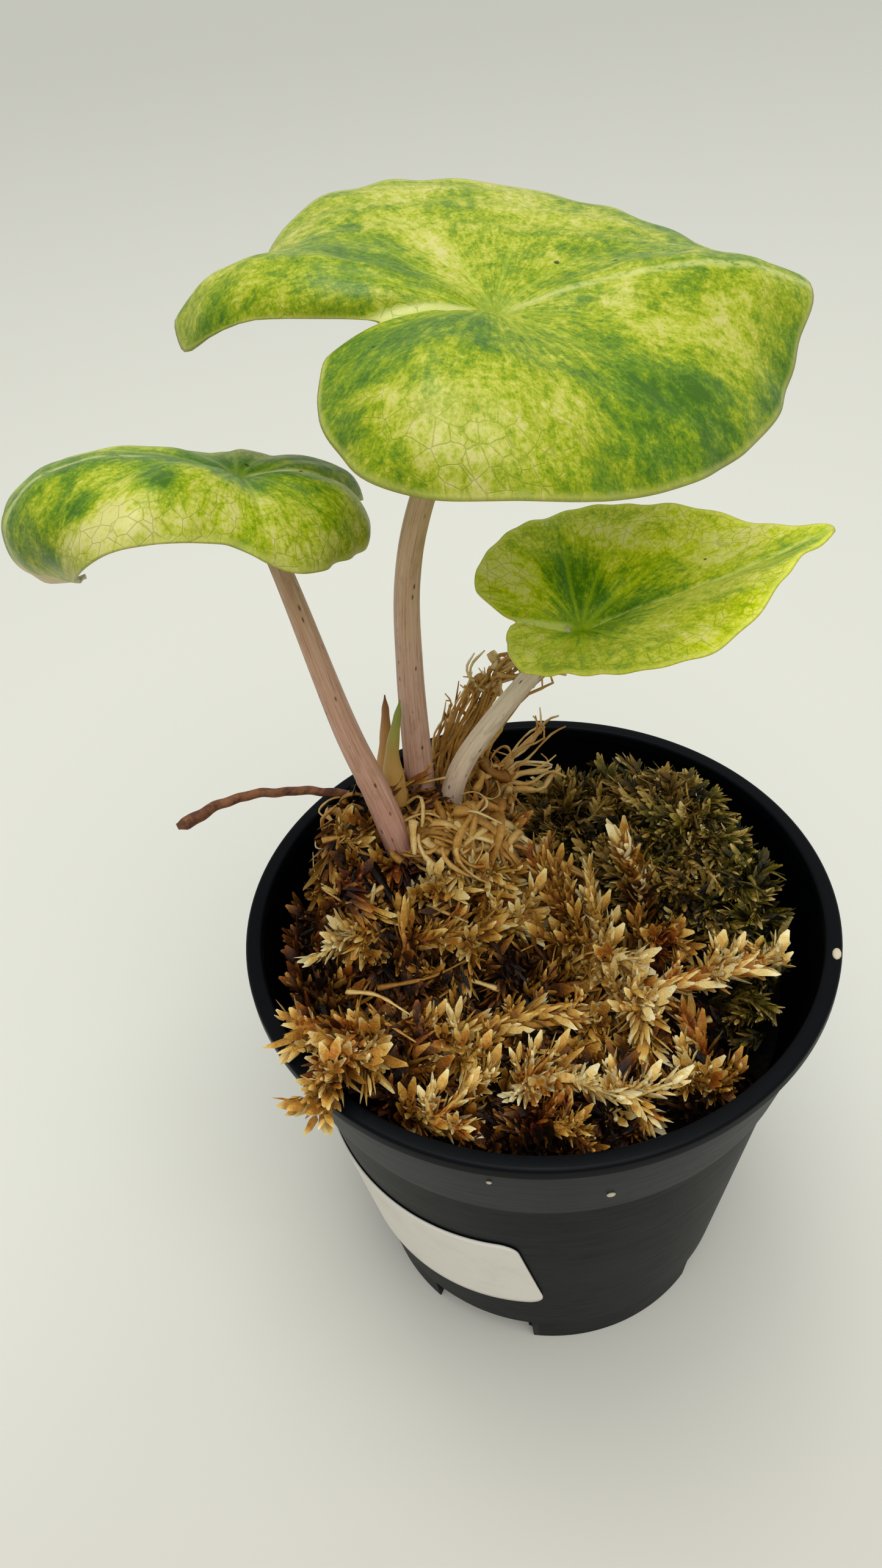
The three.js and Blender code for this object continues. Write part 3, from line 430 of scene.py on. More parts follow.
def draws(start):
    """Repeatable draws between 0 and 1."""
    state = start
    while True:
        state = (state * 16807) % 2147483647
        yield state / 2147483647


def drawn(draw, low, high):
    """The next draw, spread from low to high."""
    return low + (high - low) * next(draw)


def scattered(draw, size):
    """A vector drawn from a cube of this size."""
    return Vector([size * (next(draw) - 0.5) for _ in range(3)])


def pointing(turn):
    """The level unit vector at a turn from +X, in radians."""
    return Vector((math.cos(turn), math.sin(turn), 0))


def bell(x):
    """A bell curve that is 1 at nought."""
    return math.exp(-(x**2))


def eased(t, start, start_slope, end, end_slope):
    """The cubic from start to end, which leaves and arrives at these slopes."""
    return (
        (2 * t**3 - 3 * t**2 + 1) * start
        + (t**3 - 2 * t**2 + t) * start_slope
        + (3 * t**2 - 2 * t**3) * end
        + (t**3 - t**2) * end_slope
    )


def around(points, heading):
    """A smooth value round the compass through (heading, value) points."""
    count = len(points)

    def at(index):
        turn, place = divmod(index, count)
        return points[place][0] + 360 * turn, points[place][1]

    first = points[0][0]
    heading = (heading - first) % 360 + first
    index = 0
    while at(index + 1)[0] <= heading:
        index += 1
    before, start, end, after = (at(index + step) for step in (-1, 0, 1, 2))

    def slope(a, b):
        return (b[1] - a[1]) / (b[0] - a[0])

    span = end[0] - start[0]
    t = (heading - start[0]) / span
    start_slope = 0.5 * (slope(before, start) + slope(start, end)) * span
    end_slope = 0.5 * (slope(start, end) + slope(end, after)) * span
    return eased(t, start[1], start_slope, end[1], end_slope)


def stepped(points, share):
    """A smooth step from each (share, value) point to the next."""
    for (start, low), (end, high) in zip(points, points[1:]):
        if share <= end:
            t = (share - start) / (end - start)
            return low + (high - low) * t * t * (3 - 2 * t)
    return points[-1][1]


class Route:
    """A smooth curve through points in mm, with a steady frame along it."""

    SPAN_STEPS = 12

    def __init__(self, points, stations=24):
        points = [Vector(p) for p in points]
        ends = [2 * points[0] - points[1], *points, 2 * points[-1] - points[-2]]
        dense = []
        for index in range(len(points) - 1):
            spans = [math.sqrt((ends[index + k + 1] - ends[index + k]).length) for k in range(3)]
            for step in range(self.SPAN_STEPS):
                dense.append(self.between(ends[index:index + 4], spans, step / self.SPAN_STEPS))
        dense.append(points[-1])
        walked = [0.0]
        for a, b in zip(dense, dense[1:]):
            walked.append(walked[-1] + (b - a).length)
        self.length = walked[-1]
        self.points = []
        place = 0
        for station in range(stations + 1):
            goal = self.length * station / stations
            while place < len(dense) - 2 and walked[place + 1] < goal:
                place += 1
            share = (goal - walked[place]) / (walked[place + 1] - walked[place])
            self.points.append(dense[place].lerp(dense[place + 1], share))
        self.frames = []
        side = Vector((0.3, 1, 0.1))
        for a, b in zip(self.points, self.points[1:]):
            tangent = (b - a).normalized()
            side = (side - tangent * side.dot(tangent)).normalized()
            self.frames.append((side.copy(), tangent.cross(side)))
        self.frames.append(self.frames[-1])

    @staticmethod
    def between(corners, spans, t):
        """A point between the middle two of four corners of a centripetal spline."""
        a, b, c, d = corners
        before, span, after = spans
        start = (b - a) / before - (c - a) / (before + span) + (c - b) / span
        end = (c - b) / span - (d - b) / (span + after) + (d - c) / after
        return eased(t, b, start * span, c, end * span)

    def place(self, across, over, share):
        """The point that lies across and over the curve, in mm, at a share of its length."""
        spot = min(max(share, 0.0), 1.0) * (len(self.points) - 1)
        index = min(int(spot), len(self.points) - 2)
        middle = self.points[index].lerp(self.points[index + 1], spot - index)
        side, top = (self.frames[index][k].lerp(self.frames[index + 1][k], spot - index) for k in (0, 1))
        return middle + side * across + top * over


# Meshes


def placed(name, data):
    """A new object of the data in the scene."""
    made = bpy.data.objects.new(name, data)
    bpy.context.scene.collection.objects.link(made)
    return made


def finished(name, bm, materials, smooth_angle=None):
    """An object of the mesh, in metres, that rides on the pot."""
    bmesh.ops.scale(bm, vec=(MM, MM, MM), verts=bm.verts)
    mesh = bpy.data.meshes.new(name)
    bm.to_mesh(mesh)
    bm.free()
    for material in materials:
        mesh.materials.append(material)
    mesh.shade_smooth()
    if smooth_angle is not None:
        mesh.set_sharp_from_angle(angle=math.radians(smooth_angle))
    piece = placed(name, mesh)
    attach(piece, "root")
    return piece


def woven(bm, columns, rows, place, marks=()):
    """A grid whose corner at (u, v) goes where place(u, v) says; marks give it attributes."""
    for mark, kind, _ in marks:
        family = getattr(bm.verts.layers, kind)
        if mark not in family:
            family.new(mark)
    layers = [getattr(bm.verts.layers, kind)[mark] for mark, kind, _ in marks]
    corners = bmesh.ops.create_grid(bm, x_segments=columns, y_segments=rows, size=0.5)["verts"]
    for corner in corners:
        u, v = corner.co.x + 0.5, corner.co.y + 0.5
        for layer, (_, _, value) in zip(layers, marks):
            corner[layer] = value(u, v)
        corner.co = place(u, v)
    bmesh.ops.remove_doubles(bm, verts=corners, dist=1e-5)
    return bm


def tube(bm, route, radius, sides, rows, marks=()):
    """A closed tube along a route; radius(share, turn) gives its size in mm. The attribute
    wrap holds a point on a straight unit tube, with the way along it in mm."""

    def place(u, v):
        share = min(max((u * (rows + 2) - 1) / rows, 0), 1)
        capped = u < 0.5 / (rows + 2) or u > 1 - 0.5 / (rows + 2)
        turn = 2 * math.pi * v
        size = 0 if capped else radius(share, turn)
        return route.place(size * math.cos(turn), size * math.sin(turn), share)

    def wrap(u, v):
        return Vector((math.cos(2 * math.pi * v), math.sin(2 * math.pi * v), u * route.length))

    return woven(bm, rows + 2, sides, place, [("wrap", "float_vector", wrap), *marks])


# Materials


def set_inputs(tree, node, inputs):
    """Set a node's inputs to values, or link them to sockets."""
    for key, value in inputs.items():
        if isinstance(value, bpy.types.NodeSocket):
            tree.links.new(value, node.inputs[key])
        else:
            node.inputs[key].default_value = value


def add_node(tree, kind, inputs=None, out=0, **settings):
    """One output of a new shader node with these inputs and settings; stops fill a colour ramp."""
    made = tree.nodes.new("ShaderNode" + kind)
    stops = settings.pop("stops", ())
    for key, value in settings.items():
        setattr(made, key, value)
    if stops:
        elements = made.color_ramp.elements
        while len(elements) < len(stops):
            elements.new(1.0)
        for element, (place, colour) in zip(elements, stops):
            element.position = place
            element.color = linear(colour)
    set_inputs(tree, made, inputs or {})
    return made.outputs[out]


def formula(tree, value, *steps):
    """A value taken through steps of arithmetic, each an operation and its other numbers."""
    for operation, *others in steps:
        value = add_node(tree, "Math", dict(enumerate((value, *others))), operation=operation)
    return value


def share_of(tree, *parts):
    """The product of its parts, which are sockets or smooth fades. A fade is (value, low, high,
    top) and goes from nought at low to top at high."""
    made = []
    for part in parts:
        if isinstance(part, tuple):
            value, low, high, top = part
            ends = {"Value": value, "From Min": low, "From Max": high, "To Min": 0.0, "To Max": top}
            part = add_node(tree, "MapRange", ends, interpolation_type="SMOOTHSTEP")
        made.append(part)
    return formula(tree, made[0], *(("MULTIPLY", other) for other in made[1:]))


def layered(tree, colour, *layers):
    """A colour with layers laid over it in turn, each a tint and the parts of its share."""
    for tint, *parts in layers:
        inputs = {0: share_of(tree, *parts), 6: colour, 7: linear(tint)}
        colour = add_node(tree, "Mix", inputs, 2, data_type="RGBA")
    return colour


def material(name):
    """A new material with its tree and its one surface shader."""
    made = bpy.data.materials.new(name)
    made.use_nodes = True
    return made, made.node_tree, made.node_tree.nodes["Principled BSDF"]


def object_mm(tree):
    """The place on the piece, in mm."""
    place = add_node(tree, "TexCoord", out="Object")
    return add_node(tree, "Mapping", {"Vector": place, "Scale": (1 / MM, 1 / MM, 1 / MM)})


def leaf_skin(name, seed, cream, veins, dry_tip=(90.0, 0), saturation_and_painted_light=(1.0, 1.0), underside=False):
    """Alocasia leaf: waxy skin over marbled green tissue, so it has a satin gloss, a jagged grain
    that follows the veins out from the stalk, a pale margin and a little light through it."""
    made, tree, shader = material(name)
    plan = add_node(tree, "Attribute", out="Vector", attribute_name="plan")
    rim = add_node(tree, "Attribute", out="Fac", attribute_name="rim")
    guide = add_node(tree, "Attribute", out="Fac", attribute_name="guide")
    x = add_node(tree, "SeparateXYZ", {"Vector": plan}, "X")
    y = x.node.outputs["Y"]
    reach = add_node(tree, "VectorMath", {0: plan}, "Value", operation="LENGTH")
    heading = formula(tree, y, ("ARCTAN2", x))
    place = add_node(tree, "Mapping", {"Vector": plan, "Location": (seed, 0.37 * seed, 0)})

    # streaks that run out from the stalk, 11 mm and 3 mm long, so many to each radian
    polar = add_node(tree, "CombineXYZ", {"X": heading, "Y": reach, "Z": seed})
    broad_streaks, fine_streaks = (
        add_node(tree, "TexNoise", {
            "Vector": add_node(tree, "Mapping", {"Vector": polar, "Scale": (to_radian, 1 / length, 1)}),
            "Scale": 1.0, "Detail": 4.0, "Roughness": roughness,
        })
        for to_radian, length, roughness in ((5, 11.11, 0.65), (22, 2.857, 0.75)))
    # patches 11 mm across, mottles of 1.7 mm and a grain of 0.5 mm, as fine as shows
    patches, mottles, grain = (
        add_node(tree, "TexNoise", {
            "Vector": place, "Scale": 1 / size, "Detail": detail, "Roughness": roughness,
            "Distortion": distortion,
        })
        for size, detail, roughness, distortion in (
            (11.11, 6.0, 0.68, 0.5), (1.667, 5.0, 0.75, 0.3), (0.5, 3.0, 0.8, 0.0)))

    # paleness of the marbling
    value = formula(
        tree, guide, ("MULTIPLY", 1.5),
        *(("ADD", formula(tree, pattern, ("MULTIPLY", weight))) for pattern, weight in (
            (patches, 0.9), (broad_streaks, 0.4), (fine_streaks, 0.6), (mottles, 0.6), (grain, 0.5))),
        ("SUBTRACT", 0.97 - cream))
    greens = UNDERSIDE_GREENS if underside else MARBLED_GREENS
    colour = add_node(tree, "ValToRGB", {"Fac": value}, stops=greens)

    # distance from the nearest vein that fans out from the stalk, as the mesh has them pressed in
    gap = formula(
        tree, reach, ("MULTIPLY_ADD", VEIN_BEND, formula(tree, heading, ("ABSOLUTE",))),
        ("MULTIPLY", VEIN_FAN), ("SINE",), ("ABSOLUTE",), ("MULTIPLY", reach), ("DIVIDE", VEIN_FAN))
    wandering = formula(tree, mottles, ("SUBTRACT", 0.5), ("MULTIPLY_ADD", 1.2, gap))
    off_line = formula(tree, y, ("ABSOLUTE",))
    colour = layered(
        tree, colour,
        (0xB4C455, (wandering, 0.5, 0.1, veins), (reach, 24.0, 5.0, 1.0)),
        # midrib to the tip, and suture to the notch
        (0xC4C87A, (off_line, 1.1, 0.2, 0.65), (x, 0.0, 3.0, 1.0), (mottles, 0.3, 0.55, 1.0)),
        (0xC4C87A, (off_line, 1.2, 0.4, 0.9), (x, -0.5, -3.0, 1.0)))

    # net of fine dark veins near the margin, its cells 2 mm across
    wander = add_node(tree, "TexNoise", {"Vector": place, "Scale": 1 / 2}, "Color")
    spread = add_node(tree, "Mapping", {"Vector": place, "Scale": (0.62, 0.62, 0.62)})
    warped = add_node(tree, "Mix", {0: 0.2, 6: spread, 7: wander}, 2, data_type="RGBA")
    cells = add_node(
        tree, "TexVoronoi", {"Vector": warped, "Scale": 1.0}, "Distance", feature="DISTANCE_TO_EDGE")
    net = share_of(tree, (cells, 0.045, 0.005, 0.4), (rim, 13.0, 5.0, 1.0), (value, 0.52, 0.66, 1.0))

    # dark specks 0.7 mm across, in one of five cells of 6.7 mm
    spots = add_node(tree, "Mapping", {"Vector": place, "Scale": (0.15, 0.15, 0.15)})
    speck = add_node(tree, "TexVoronoi", {"Vector": spots, "Scale": 1.0}, "Distance")
    drawn_lot = add_node(tree, "SeparateXYZ", {"Vector": speck.node.outputs["Color"]}, "X")
    ragged_rim = formula(tree, mottles, ("MULTIPLY_ADD", 1.8, rim))
    ragged_tip = formula(tree, mottles, ("MULTIPLY_ADD", 3.0, x))
    tip_start, tip_colour = dry_tip
    colour = layered(
        tree, colour,
        (0x6C7A1A, net),
        # pale margin with a thin dark edge, and the dry brown tip
        (0xC0C168, (ragged_rim, 2.2, 1.1, 0.6)),
        (0x8C8A3A, (rim, 0.2, 0.0, 0.3)),
        (tip_colour, (ragged_tip, tip_start, tip_start + 2.5, 0.9)),
        (0x1E220A, (speck, 0.06, 0.045, 0.85), (drawn_lot, 0.8, 0.81, 1.0)))
    # saturation, and a scale of the colour's value; on the right leaf the value scale is painted light
    saturation, value_with_painted_light = saturation_and_painted_light
    relief = formula(
        tree, fine_streaks, ("MULTIPLY", 0.6), ("ADD", formula(tree, grain, ("MULTIPLY", 0.4))),
        ("SUBTRACT", formula(tree, net, ("MULTIPLY", 0.8))))
    set_inputs(tree, shader, {
        "Base Color": add_node(
            tree, "HueSaturation", {"Color": colour, "Saturation": saturation, "Value": value_with_painted_light}),
        "Roughness": 0.5 if underside else 0.38,
        "Specular IOR Level": 0.24,
        "Subsurface Weight": 0.1,
        "Subsurface Radius": (0.5, 1.0, 0.1),
        "Subsurface Scale": 0.6 * MM,
        "Normal": add_node(tree, "Bump", {"Height": relief, "Distance": 0.16 * MM, "Strength": 0.7}),
    })
    return made


def leaf_curl(name):
    """Back of the curled leaf tip, where the leaf has no green: pale peach tissue."""
    made, tree, shader = material(name)
    plan = add_node(tree, "Attribute", out="Vector", attribute_name="plan")
    # clouds 4 mm across
    clouds = add_node(tree, "TexNoise", {"Vector": plan, "Scale": 1 / 4, "Detail": 4.0, "Roughness": 0.6})
    peach = add_node(
        tree, "ValToRGB", {"Fac": clouds}, stops=((0.35, 0xB3A955), (0.5, 0xC9B574), (0.65, 0xD6BE88)))
    along = add_node(tree, "SeparateXYZ", {"Vector": plan}, "X")
    set_inputs(tree, shader, {
        "Base Color": layered(tree, peach, (0x7A9A20, (along, 30.0, 14.0, 1.0))),
        "Roughness": 0.45,
        "Specular IOR Level": 0.3,
        "Subsurface Weight": 0.12,
        "Subsurface Radius": (0.8, 0.7, 0.3),
        "Subsurface Scale": 0.8 * MM,
        "Normal": add_node(tree, "Bump", {"Height": clouds, "Distance": 0.1 * MM, "Strength": 0.5}),
    })
    return made


def stalk_skin(name, foot, middle, head, streak):
    """Leaf stalk: smooth waxy skin, pink with darker lines that run along it and short brown dashes."""
    made, tree, shader = material(name)
    wrap = add_node(tree, "Attribute", out="Vector", attribute_name="wrap")
    along = add_node(tree, "SeparateXYZ", {"Vector": wrap}, "Z")
    # lines a ninth of the radius wide and 14 mm long, and clouds 4 mm long
    lines, clouds = (
        add_node(tree, "TexNoise", {
            "Vector": add_node(tree, "Mapping", {"Vector": wrap, "Scale": (across, across, 1 / length)}),
            "Scale": 1.0, "Detail": detail, "Roughness": roughness,
        })
        for across, length, detail, roughness in ((9, 14.29, 4.0, 0.75), (1, 4, 3.0, 0.6)))
    # dashes in under half of the cells, which are 3.3 mm long
    cells = add_node(tree, "Mapping", {"Vector": wrap, "Scale": (1.5, 1.5, 1 / 3.333)})
    dash = add_node(tree, "TexVoronoi", {"Vector": cells, "Scale": 1.0}, "Distance")
    drawn_lot = add_node(tree, "SeparateXYZ", {"Vector": dash.node.outputs["Color"]}, "X")
    colour = layered(
        tree, linear(foot),
        (middle, (along, 0.0, 36.0, 1.0)),
        (head, (along, 30.0, 70.0, 1.0)),
        (streak, (lines, 0.52, 0.64, 0.75)),
        (0xE6CFBC, (lines, 0.47, 0.34, 0.5)),
        (0x9A7A5E, (clouds, 0.5, 0.75, 0.4)),
        (0x4A2A18, (dash, 0.2, 0.08, 0.85), (drawn_lot, 0.55, 0.6, 1.0)))
    set_inputs(tree, shader, {
        "Base Color": colour,
        "Roughness": 0.42,
        "Specular IOR Level": 0.35,
        "Subsurface Weight": 0.12,
        "Subsurface Radius": (1.0, 0.6, 0.4),
        "Subsurface Scale": 0.6 * MM,
        "Normal": add_node(tree, "Bump", {"Height": lines, "Distance": 0.2 * MM, "Strength": 0.8}),
    })
    return made


def sheath_skin(name, stops, length):
    """Papery leaf sheath: dry fibres along it, from its foot to its tip."""
    made, tree, shader = material(name)
    wrap = add_node(tree, "Attribute", out="Vector", attribute_name="wrap")
    # fibres a sixth of the radius wide and 6.7 mm long
    drawn_out = add_node(tree, "Mapping", {"Vector": wrap, "Scale": (6, 6, 1 / 6.667)})
    fibres = add_node(
        tree, "TexNoise", {"Vector": drawn_out, "Scale": 1.0, "Detail": 4.0, "Roughness": 0.7})
    along = formula(tree, add_node(tree, "SeparateXYZ", {"Vector": wrap}, "Z"), ("DIVIDE", length))
    value = formula(tree, fibres, ("SUBTRACT", 0.5), ("MULTIPLY_ADD", 0.2, along))
    skin = add_node(tree, "ValToRGB", {"Fac": value}, stops=stops)
    set_inputs(tree, shader, {
        "Base Color": layered(tree, skin, (0x6E4A22, (fibres, 0.55, 0.75, 0.5))),
        "Roughness": 0.55,
        "Normal": add_node(tree, "Bump", {"Height": fibres, "Distance": 0.2 * MM, "Strength": 0.7}),
    })
    return made


def moss_skin(name, stops, tint, spread, painted_depth_shade, patch, side=(200, 201)):
    """Sphagnum leaves: thin and papery, a little translucent, each sprig in a tone of its own,
    stained in places, with pale tips. The second tint lies in patches and beyond a line across x.
    Leaves low in the bed are darkened as painted shade."""
    made, tree, shader = material(name)
    tone = add_node(tree, "Attribute", out="Fac", attribute_name="tone")
    place = object_mm(tree)
    x = add_node(tree, "SeparateXYZ", {"Vector": place}, "X")
    z = x.node.outputs["Z"]
    shifted = add_node(tree, "Mapping", {"Vector": place, "Location": (patch, 0, 0)})
    # stains 3 mm across, cells of 0.6 mm and patches of 9 mm
    stain, cells, region = (
        add_node(tree, "TexNoise", {"Vector": spot, "Scale": 1 / size, "Detail": 3.0, "Roughness": rough})
        for spot, size, rough in ((place, 3.333, 0.6), (place, 0.5556, 0.75), (shifted, 9.091, 0.6)))
    stained = formula(tree, stain, ("SUBTRACT", 0.5), ("MULTIPLY_ADD", 0.5, tone))
    value = formula(tree, cells, ("SUBTRACT", 0.5), ("MULTIPLY_ADD", 0.3, stained))
    colour = add_node(tree, "ValToRGB", {"Fac": value}, stops=stops)
    # the second tint, which leaves the palest leaves cream
    beyond = share_of(tree, (x, *side, spread))
    patches = share_of(tree, (region, 0.5, 0.62, spread))
    mask = share_of(tree, formula(tree, patches, ("MAXIMUM", beyond)), (value, 0.8, 0.5, 1.0))
    colour = add_node(
        tree, "Mix", {0: mask, 6: colour, 7: linear(tint)}, 2, data_type="RGBA", blend_type="MULTIPLY")
    set_inputs(tree, shader, {
        # painted shade: leaves below 71 mm darken towards 62 mm, for the shade deep in the bed
        "Base Color": layered(tree, colour, (painted_depth_shade, (z, 71.0, 62.0, 0.8))),
        "Roughness": 0.5,
        "Specular IOR Level": 0.3,
        "Subsurface Weight": 0.2,
        "Subsurface Radius": (1.0, 0.6, 0.25),
        "Subsurface Scale": 0.5 * MM,
        "Normal": add_node(tree, "Bump", {"Height": cells, "Distance": 0.3 * MM, "Strength": 0.9}),
    })
    return made


def peat(name, light, dark):
    """Wet peat and dead moss in the depth of the pot, darkened to near black as painted shade for
    the gaps between the sprigs: crumbly and matt.
    """
    made, tree, shader = material(name)
    # crumbs 1.4 mm across
    crumbs = add_node(
        tree, "TexNoise", {"Vector": object_mm(tree), "Scale": 1 / 1.429, "Detail": 6.0, "Roughness": 0.7})
    set_inputs(tree, shader, {
        # painted shade: the near black stands for the shade in the moss's gaps as well as the peat's own
        # colour
        "Base Color": layered(tree, linear(dark), (light, (crumbs, 0.4, 0.7, 1.0))),
        "Roughness": 0.9,
        "Specular IOR Level": 0.1,
        "Normal": add_node(tree, "Bump", {"Height": crumbs, "Distance": 1.2 * MM, "Strength": 1.0}),
    })
    return made


def pot_plastic(name, colour, painted_light_collar, roughness, dust):
    """Injection moulded polypropylene: smooth and satin, with fine moulding grain, rubbed scuffs
    and dust; the band above the wall is painted paler as painted light, where it faces up."""
    made, tree, shader = material(name)
    place = object_mm(tree)
    round_wall = add_node(tree, "Mapping", {"Vector": place, "Scale": (1 / 8.333, 1 / 8.333, 1)})
    # clouds of dust 20 mm across, rubbed streaks 1 mm high and 8 mm long, and a grain of 0.25 mm
    clouds, rubs, grains = (
        add_node(
            tree, "TexNoise", {"Vector": spot, "Scale": 1 / size, "Detail": detail, "Roughness": rough})
        for spot, size, detail, rough in (
            (place, 20, 5.0, 0.6), (round_wall, 1, 5.0, 0.7), (place, 0.25, 2.0, 0.6)))
    height = add_node(tree, "SeparateXYZ", {"Vector": place}, "Z")
    set_inputs(tree, shader, {
        "Base Color": layered(
            tree, linear(colour),
            # painted light: the band from its foot up is paler than the wall under it
            (painted_light_collar, (height, BAND_FOOT_HEIGHT - 0.3, BAND_FOOT_HEIGHT + 0.3, 1.0)),
            (0x7A7A72, (clouds, 0.4, 0.7, 1.0), (rubs, 0.35, 0.7, dust))),
        "Roughness": formula(tree, rubs, ("MULTIPLY_ADD", 0.25, roughness - 0.12)),
        "Specular IOR Level": 0.07,
        "Normal": add_node(tree, "Bump", {"Height": grains, "Distance": 0.02 * MM, "Strength": 0.5}),
    })
    return made


def label_paper(name):
    """Uncoated label paper: warm white, dimmed a little as painted shade, with fine fibres, a little
    soiled.
    """
    made, tree, shader = material(name)
    place = object_mm(tree)
    # fibres 0.3 mm across, and soil in clouds of 11 mm
    fibres, soil = (
        add_node(
            tree, "TexNoise", {"Vector": place, "Scale": 1 / size, "Detail": detail, "Roughness": rough})
        for size, detail, rough in ((0.3333, 4.0, 0.8), (11.11, 5.0, 0.7)))
    set_inputs(tree, shader, {
        # painted shade: the paper's white is dimmed a little
        "Base Color": layered(tree, linear(0xDDD9CF), (0xBDB7AA, (soil, 0.45, 0.8, 0.5))),
        "Roughness": 0.62,
        "Normal": add_node(tree, "Bump", {"Height": fibres, "Distance": 0.05 * MM, "Strength": 0.4}),
    })
    return made


def bark(name, light, dark):
    """Dead brown stalk or corm skin: dry, knotted and matt."""
    made, tree, shader = material(name)
    # knots 2.2 mm across
    knots = add_node(
        tree, "TexNoise", {"Vector": object_mm(tree), "Scale": 1 / 2.222, "Detail": 5.0, "Roughness": 0.7})
    set_inputs(tree, shader, {
        "Base Color": layered(tree, linear(dark), (light, (knots, 0.35, 0.65, 1.0))),
        "Roughness": 0.7,
        "Normal": add_node(tree, "Bump", {"Height": knots, "Distance": 0.4 * MM, "Strength": 1.0}),
    })
    return made


# Pot and label


def pot_outline():
    """(radius, height) points up the outside of the pot and down its inside, both on the axis."""
    skirt = FOOT_RADIUS + WALL_RISE * SKIRT_HEIGHT
    channel_top = CHANNEL_HEIGHT + WALL
    under_rim = POT_HEIGHT - RIM_DEPTH
    turns = [math.radians(15 * k) for k in range(7)]
    bead = [(RIM_BEAD * math.cos(t), POT_HEIGHT - RIM_BEAD + RIM_BEAD * math.sin(t)) for t in turns]
    rolled_out = [(RIM_RADIUS - RIM_BEAD + across, height) for across, height in bead]
    rolled_in = [(RIM_RADIUS - RIM_WIDTH + RIM_BEAD - across, height) for across, height in reversed(bead)]
    return [
        (0, 0),
        (CHANNEL_INNER_RADIUS, 0),
        (CHANNEL_INNER_RADIUS + WALL, CHANNEL_HEIGHT),
        (CHANNEL_OUTER_RADIUS, CHANNEL_HEIGHT),
        (CHANNEL_OUTER_RADIUS, 0),
        (FOOT_RADIUS - EDGE, 0),
        (FOOT_RADIUS, EDGE),
        (skirt - EDGE, SKIRT_HEIGHT - EDGE),
        (skirt, SKIRT_HEIGHT),
        (WALL_TOP_RADIUS, BAND_FOOT_HEIGHT - 0.5),
        (BAND_FOOT_RADIUS - EDGE, BAND_FOOT_HEIGHT),
        (BAND_FOOT_RADIUS, BAND_FOOT_HEIGHT + 0.4),
        (BAND_TOP_RADIUS, under_rim - 0.4),
        (RIM_RADIUS - EDGE, under_rim),
        (RIM_RADIUS, under_rim + EDGE),
        *rolled_out,
        *rolled_in,
        (RIM_RADIUS - RIM_WIDTH, under_rim),
        (BAND_TOP_RADIUS - WALL, under_rim - 0.5),
        (BAND_FOOT_RADIUS - WALL, BAND_FOOT_HEIGHT),
        (WALL_TOP_RADIUS - WALL, BAND_FOOT_HEIGHT - 1.4),
        (FOOT_RADIUS + WALL_RISE * channel_top - WALL, channel_top),
        (CHANNEL_INNER_RADIUS, channel_top),
        (CHANNEL_INNER_RADIUS - WALL, WALL),
        (0, WALL),
    ]


def cut_by(piece, cutters):
    """The piece with the cutters' shapes cut out of it."""
    other = placed("cutter", bpy.data.meshes.new("cutter"))
    bmesh.ops.scale(cutters, vec=(MM, MM, MM), verts=cutters.verts)
    cutters.to_mesh(other.data)
    cutters.free()
    cut = piece.modifiers.new("cut", "BOOLEAN")
    cut.operation = "DIFFERENCE"
    cut.solver = "EXACT"
    cut.object = other
    bpy.context.view_layer.objects.active = piece
    bpy.ops.object.modifier_apply(modifier=cut.name)
    bpy.data.objects.remove(other)


def pot_piece(steps):
    """The pot, turned from its outline, with notches in its foot and drain holes in its channel."""
    bm = bmesh.new()
    outline = pot_outline()
    ring = [bm.verts.new((r, 0, z)) for r, z in outline]
    edges = [bm.edges.new(pair) for pair in zip(ring, ring[1:])]
    bmesh.ops.spin(
        bm, geom=ring + edges, cent=(0, 0, 0), axis=(0, 0, 1), angle=2 * math.pi, steps=steps,
        use_merge=True)
    bmesh.ops.remove_doubles(bm, verts=bm.verts, dist=1e-4)
    bmesh.ops.recalc_face_normals(bm, faces=bm.faces)
    # places in the list of plastics, whose first is the outside; the inside is a copy darkened as painted
    # shade
    inside = 1
    rim = 2
    for face in bm.faces:
        middle = face.calc_center_median()
        turned_in = face.normal.xy.dot(middle.xy) < 0.05 * middle.xy.length
        if middle.z > POT_HEIGHT - RIM_DEPTH - 0.2:
            face.material_index = rim
        elif middle.z > WALL / 2 and turned_in and face.normal.z > -0.5:
            face.material_index = inside
    plastics = [
        pot_plastic("polypropylene_outside", 0x03060A, painted_light_collar=0x1D2225, roughness=0.46, dust=0.06),
        # painted shade: the inside is the same plastic painted near black and without dust, for the shade
        # in the pot
        pot_plastic("polypropylene_inside", 0x020304, painted_light_collar=0x020304, roughness=0.5, dust=0.0),
        pot_plastic("polypropylene_rim", 0x05080C, painted_light_collar=0x05080C, roughness=0.4, dust=0.0),
    ]
    piece = finished("nursery_pot", bm, plastics, SHARP_ANGLE)
    cutters = bmesh.new()
    width = 2 * FOOT_RADIUS * math.sin(math.radians(NOTCH_ANGLE / 2))
    depth = 2 * (RIM_RADIUS - CHANNEL_OUTER_RADIUS)
    for heading in NOTCH_HEADINGS:
        turn = Matrix.Rotation(math.radians(heading), 4, "Z")
        notch = Matrix.Translation((CHANNEL_OUTER_RADIUS - 1 + depth / 2, 0, 0)) @ Matrix.Diagonal(
            (depth, width, 2 * NOTCH_HEIGHT, 1))
        bmesh.ops.create_cube(cutters, size=1, matrix=turn @ notch)
        drain_reach = (CHANNEL_INNER_RADIUS + CHANNEL_OUTER_RADIUS) / 2 + 0.5
        drain = Matrix.Translation((drain_reach, 0, CHANNEL_HEIGHT))
        bmesh.ops.create_cone(
            cutters, cap_ends=True, segments=24, radius1=DRAIN_RADIUS, radius2=DRAIN_RADIUS,
            depth=4 * WALL, matrix=turn @ drain)
    cut_by(piece, cutters)
    piece.data.shade_smooth()
    piece.data.set_sharp_from_angle(angle=math.radians(SHARP_ANGLE))
    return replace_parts(piece, "pot")


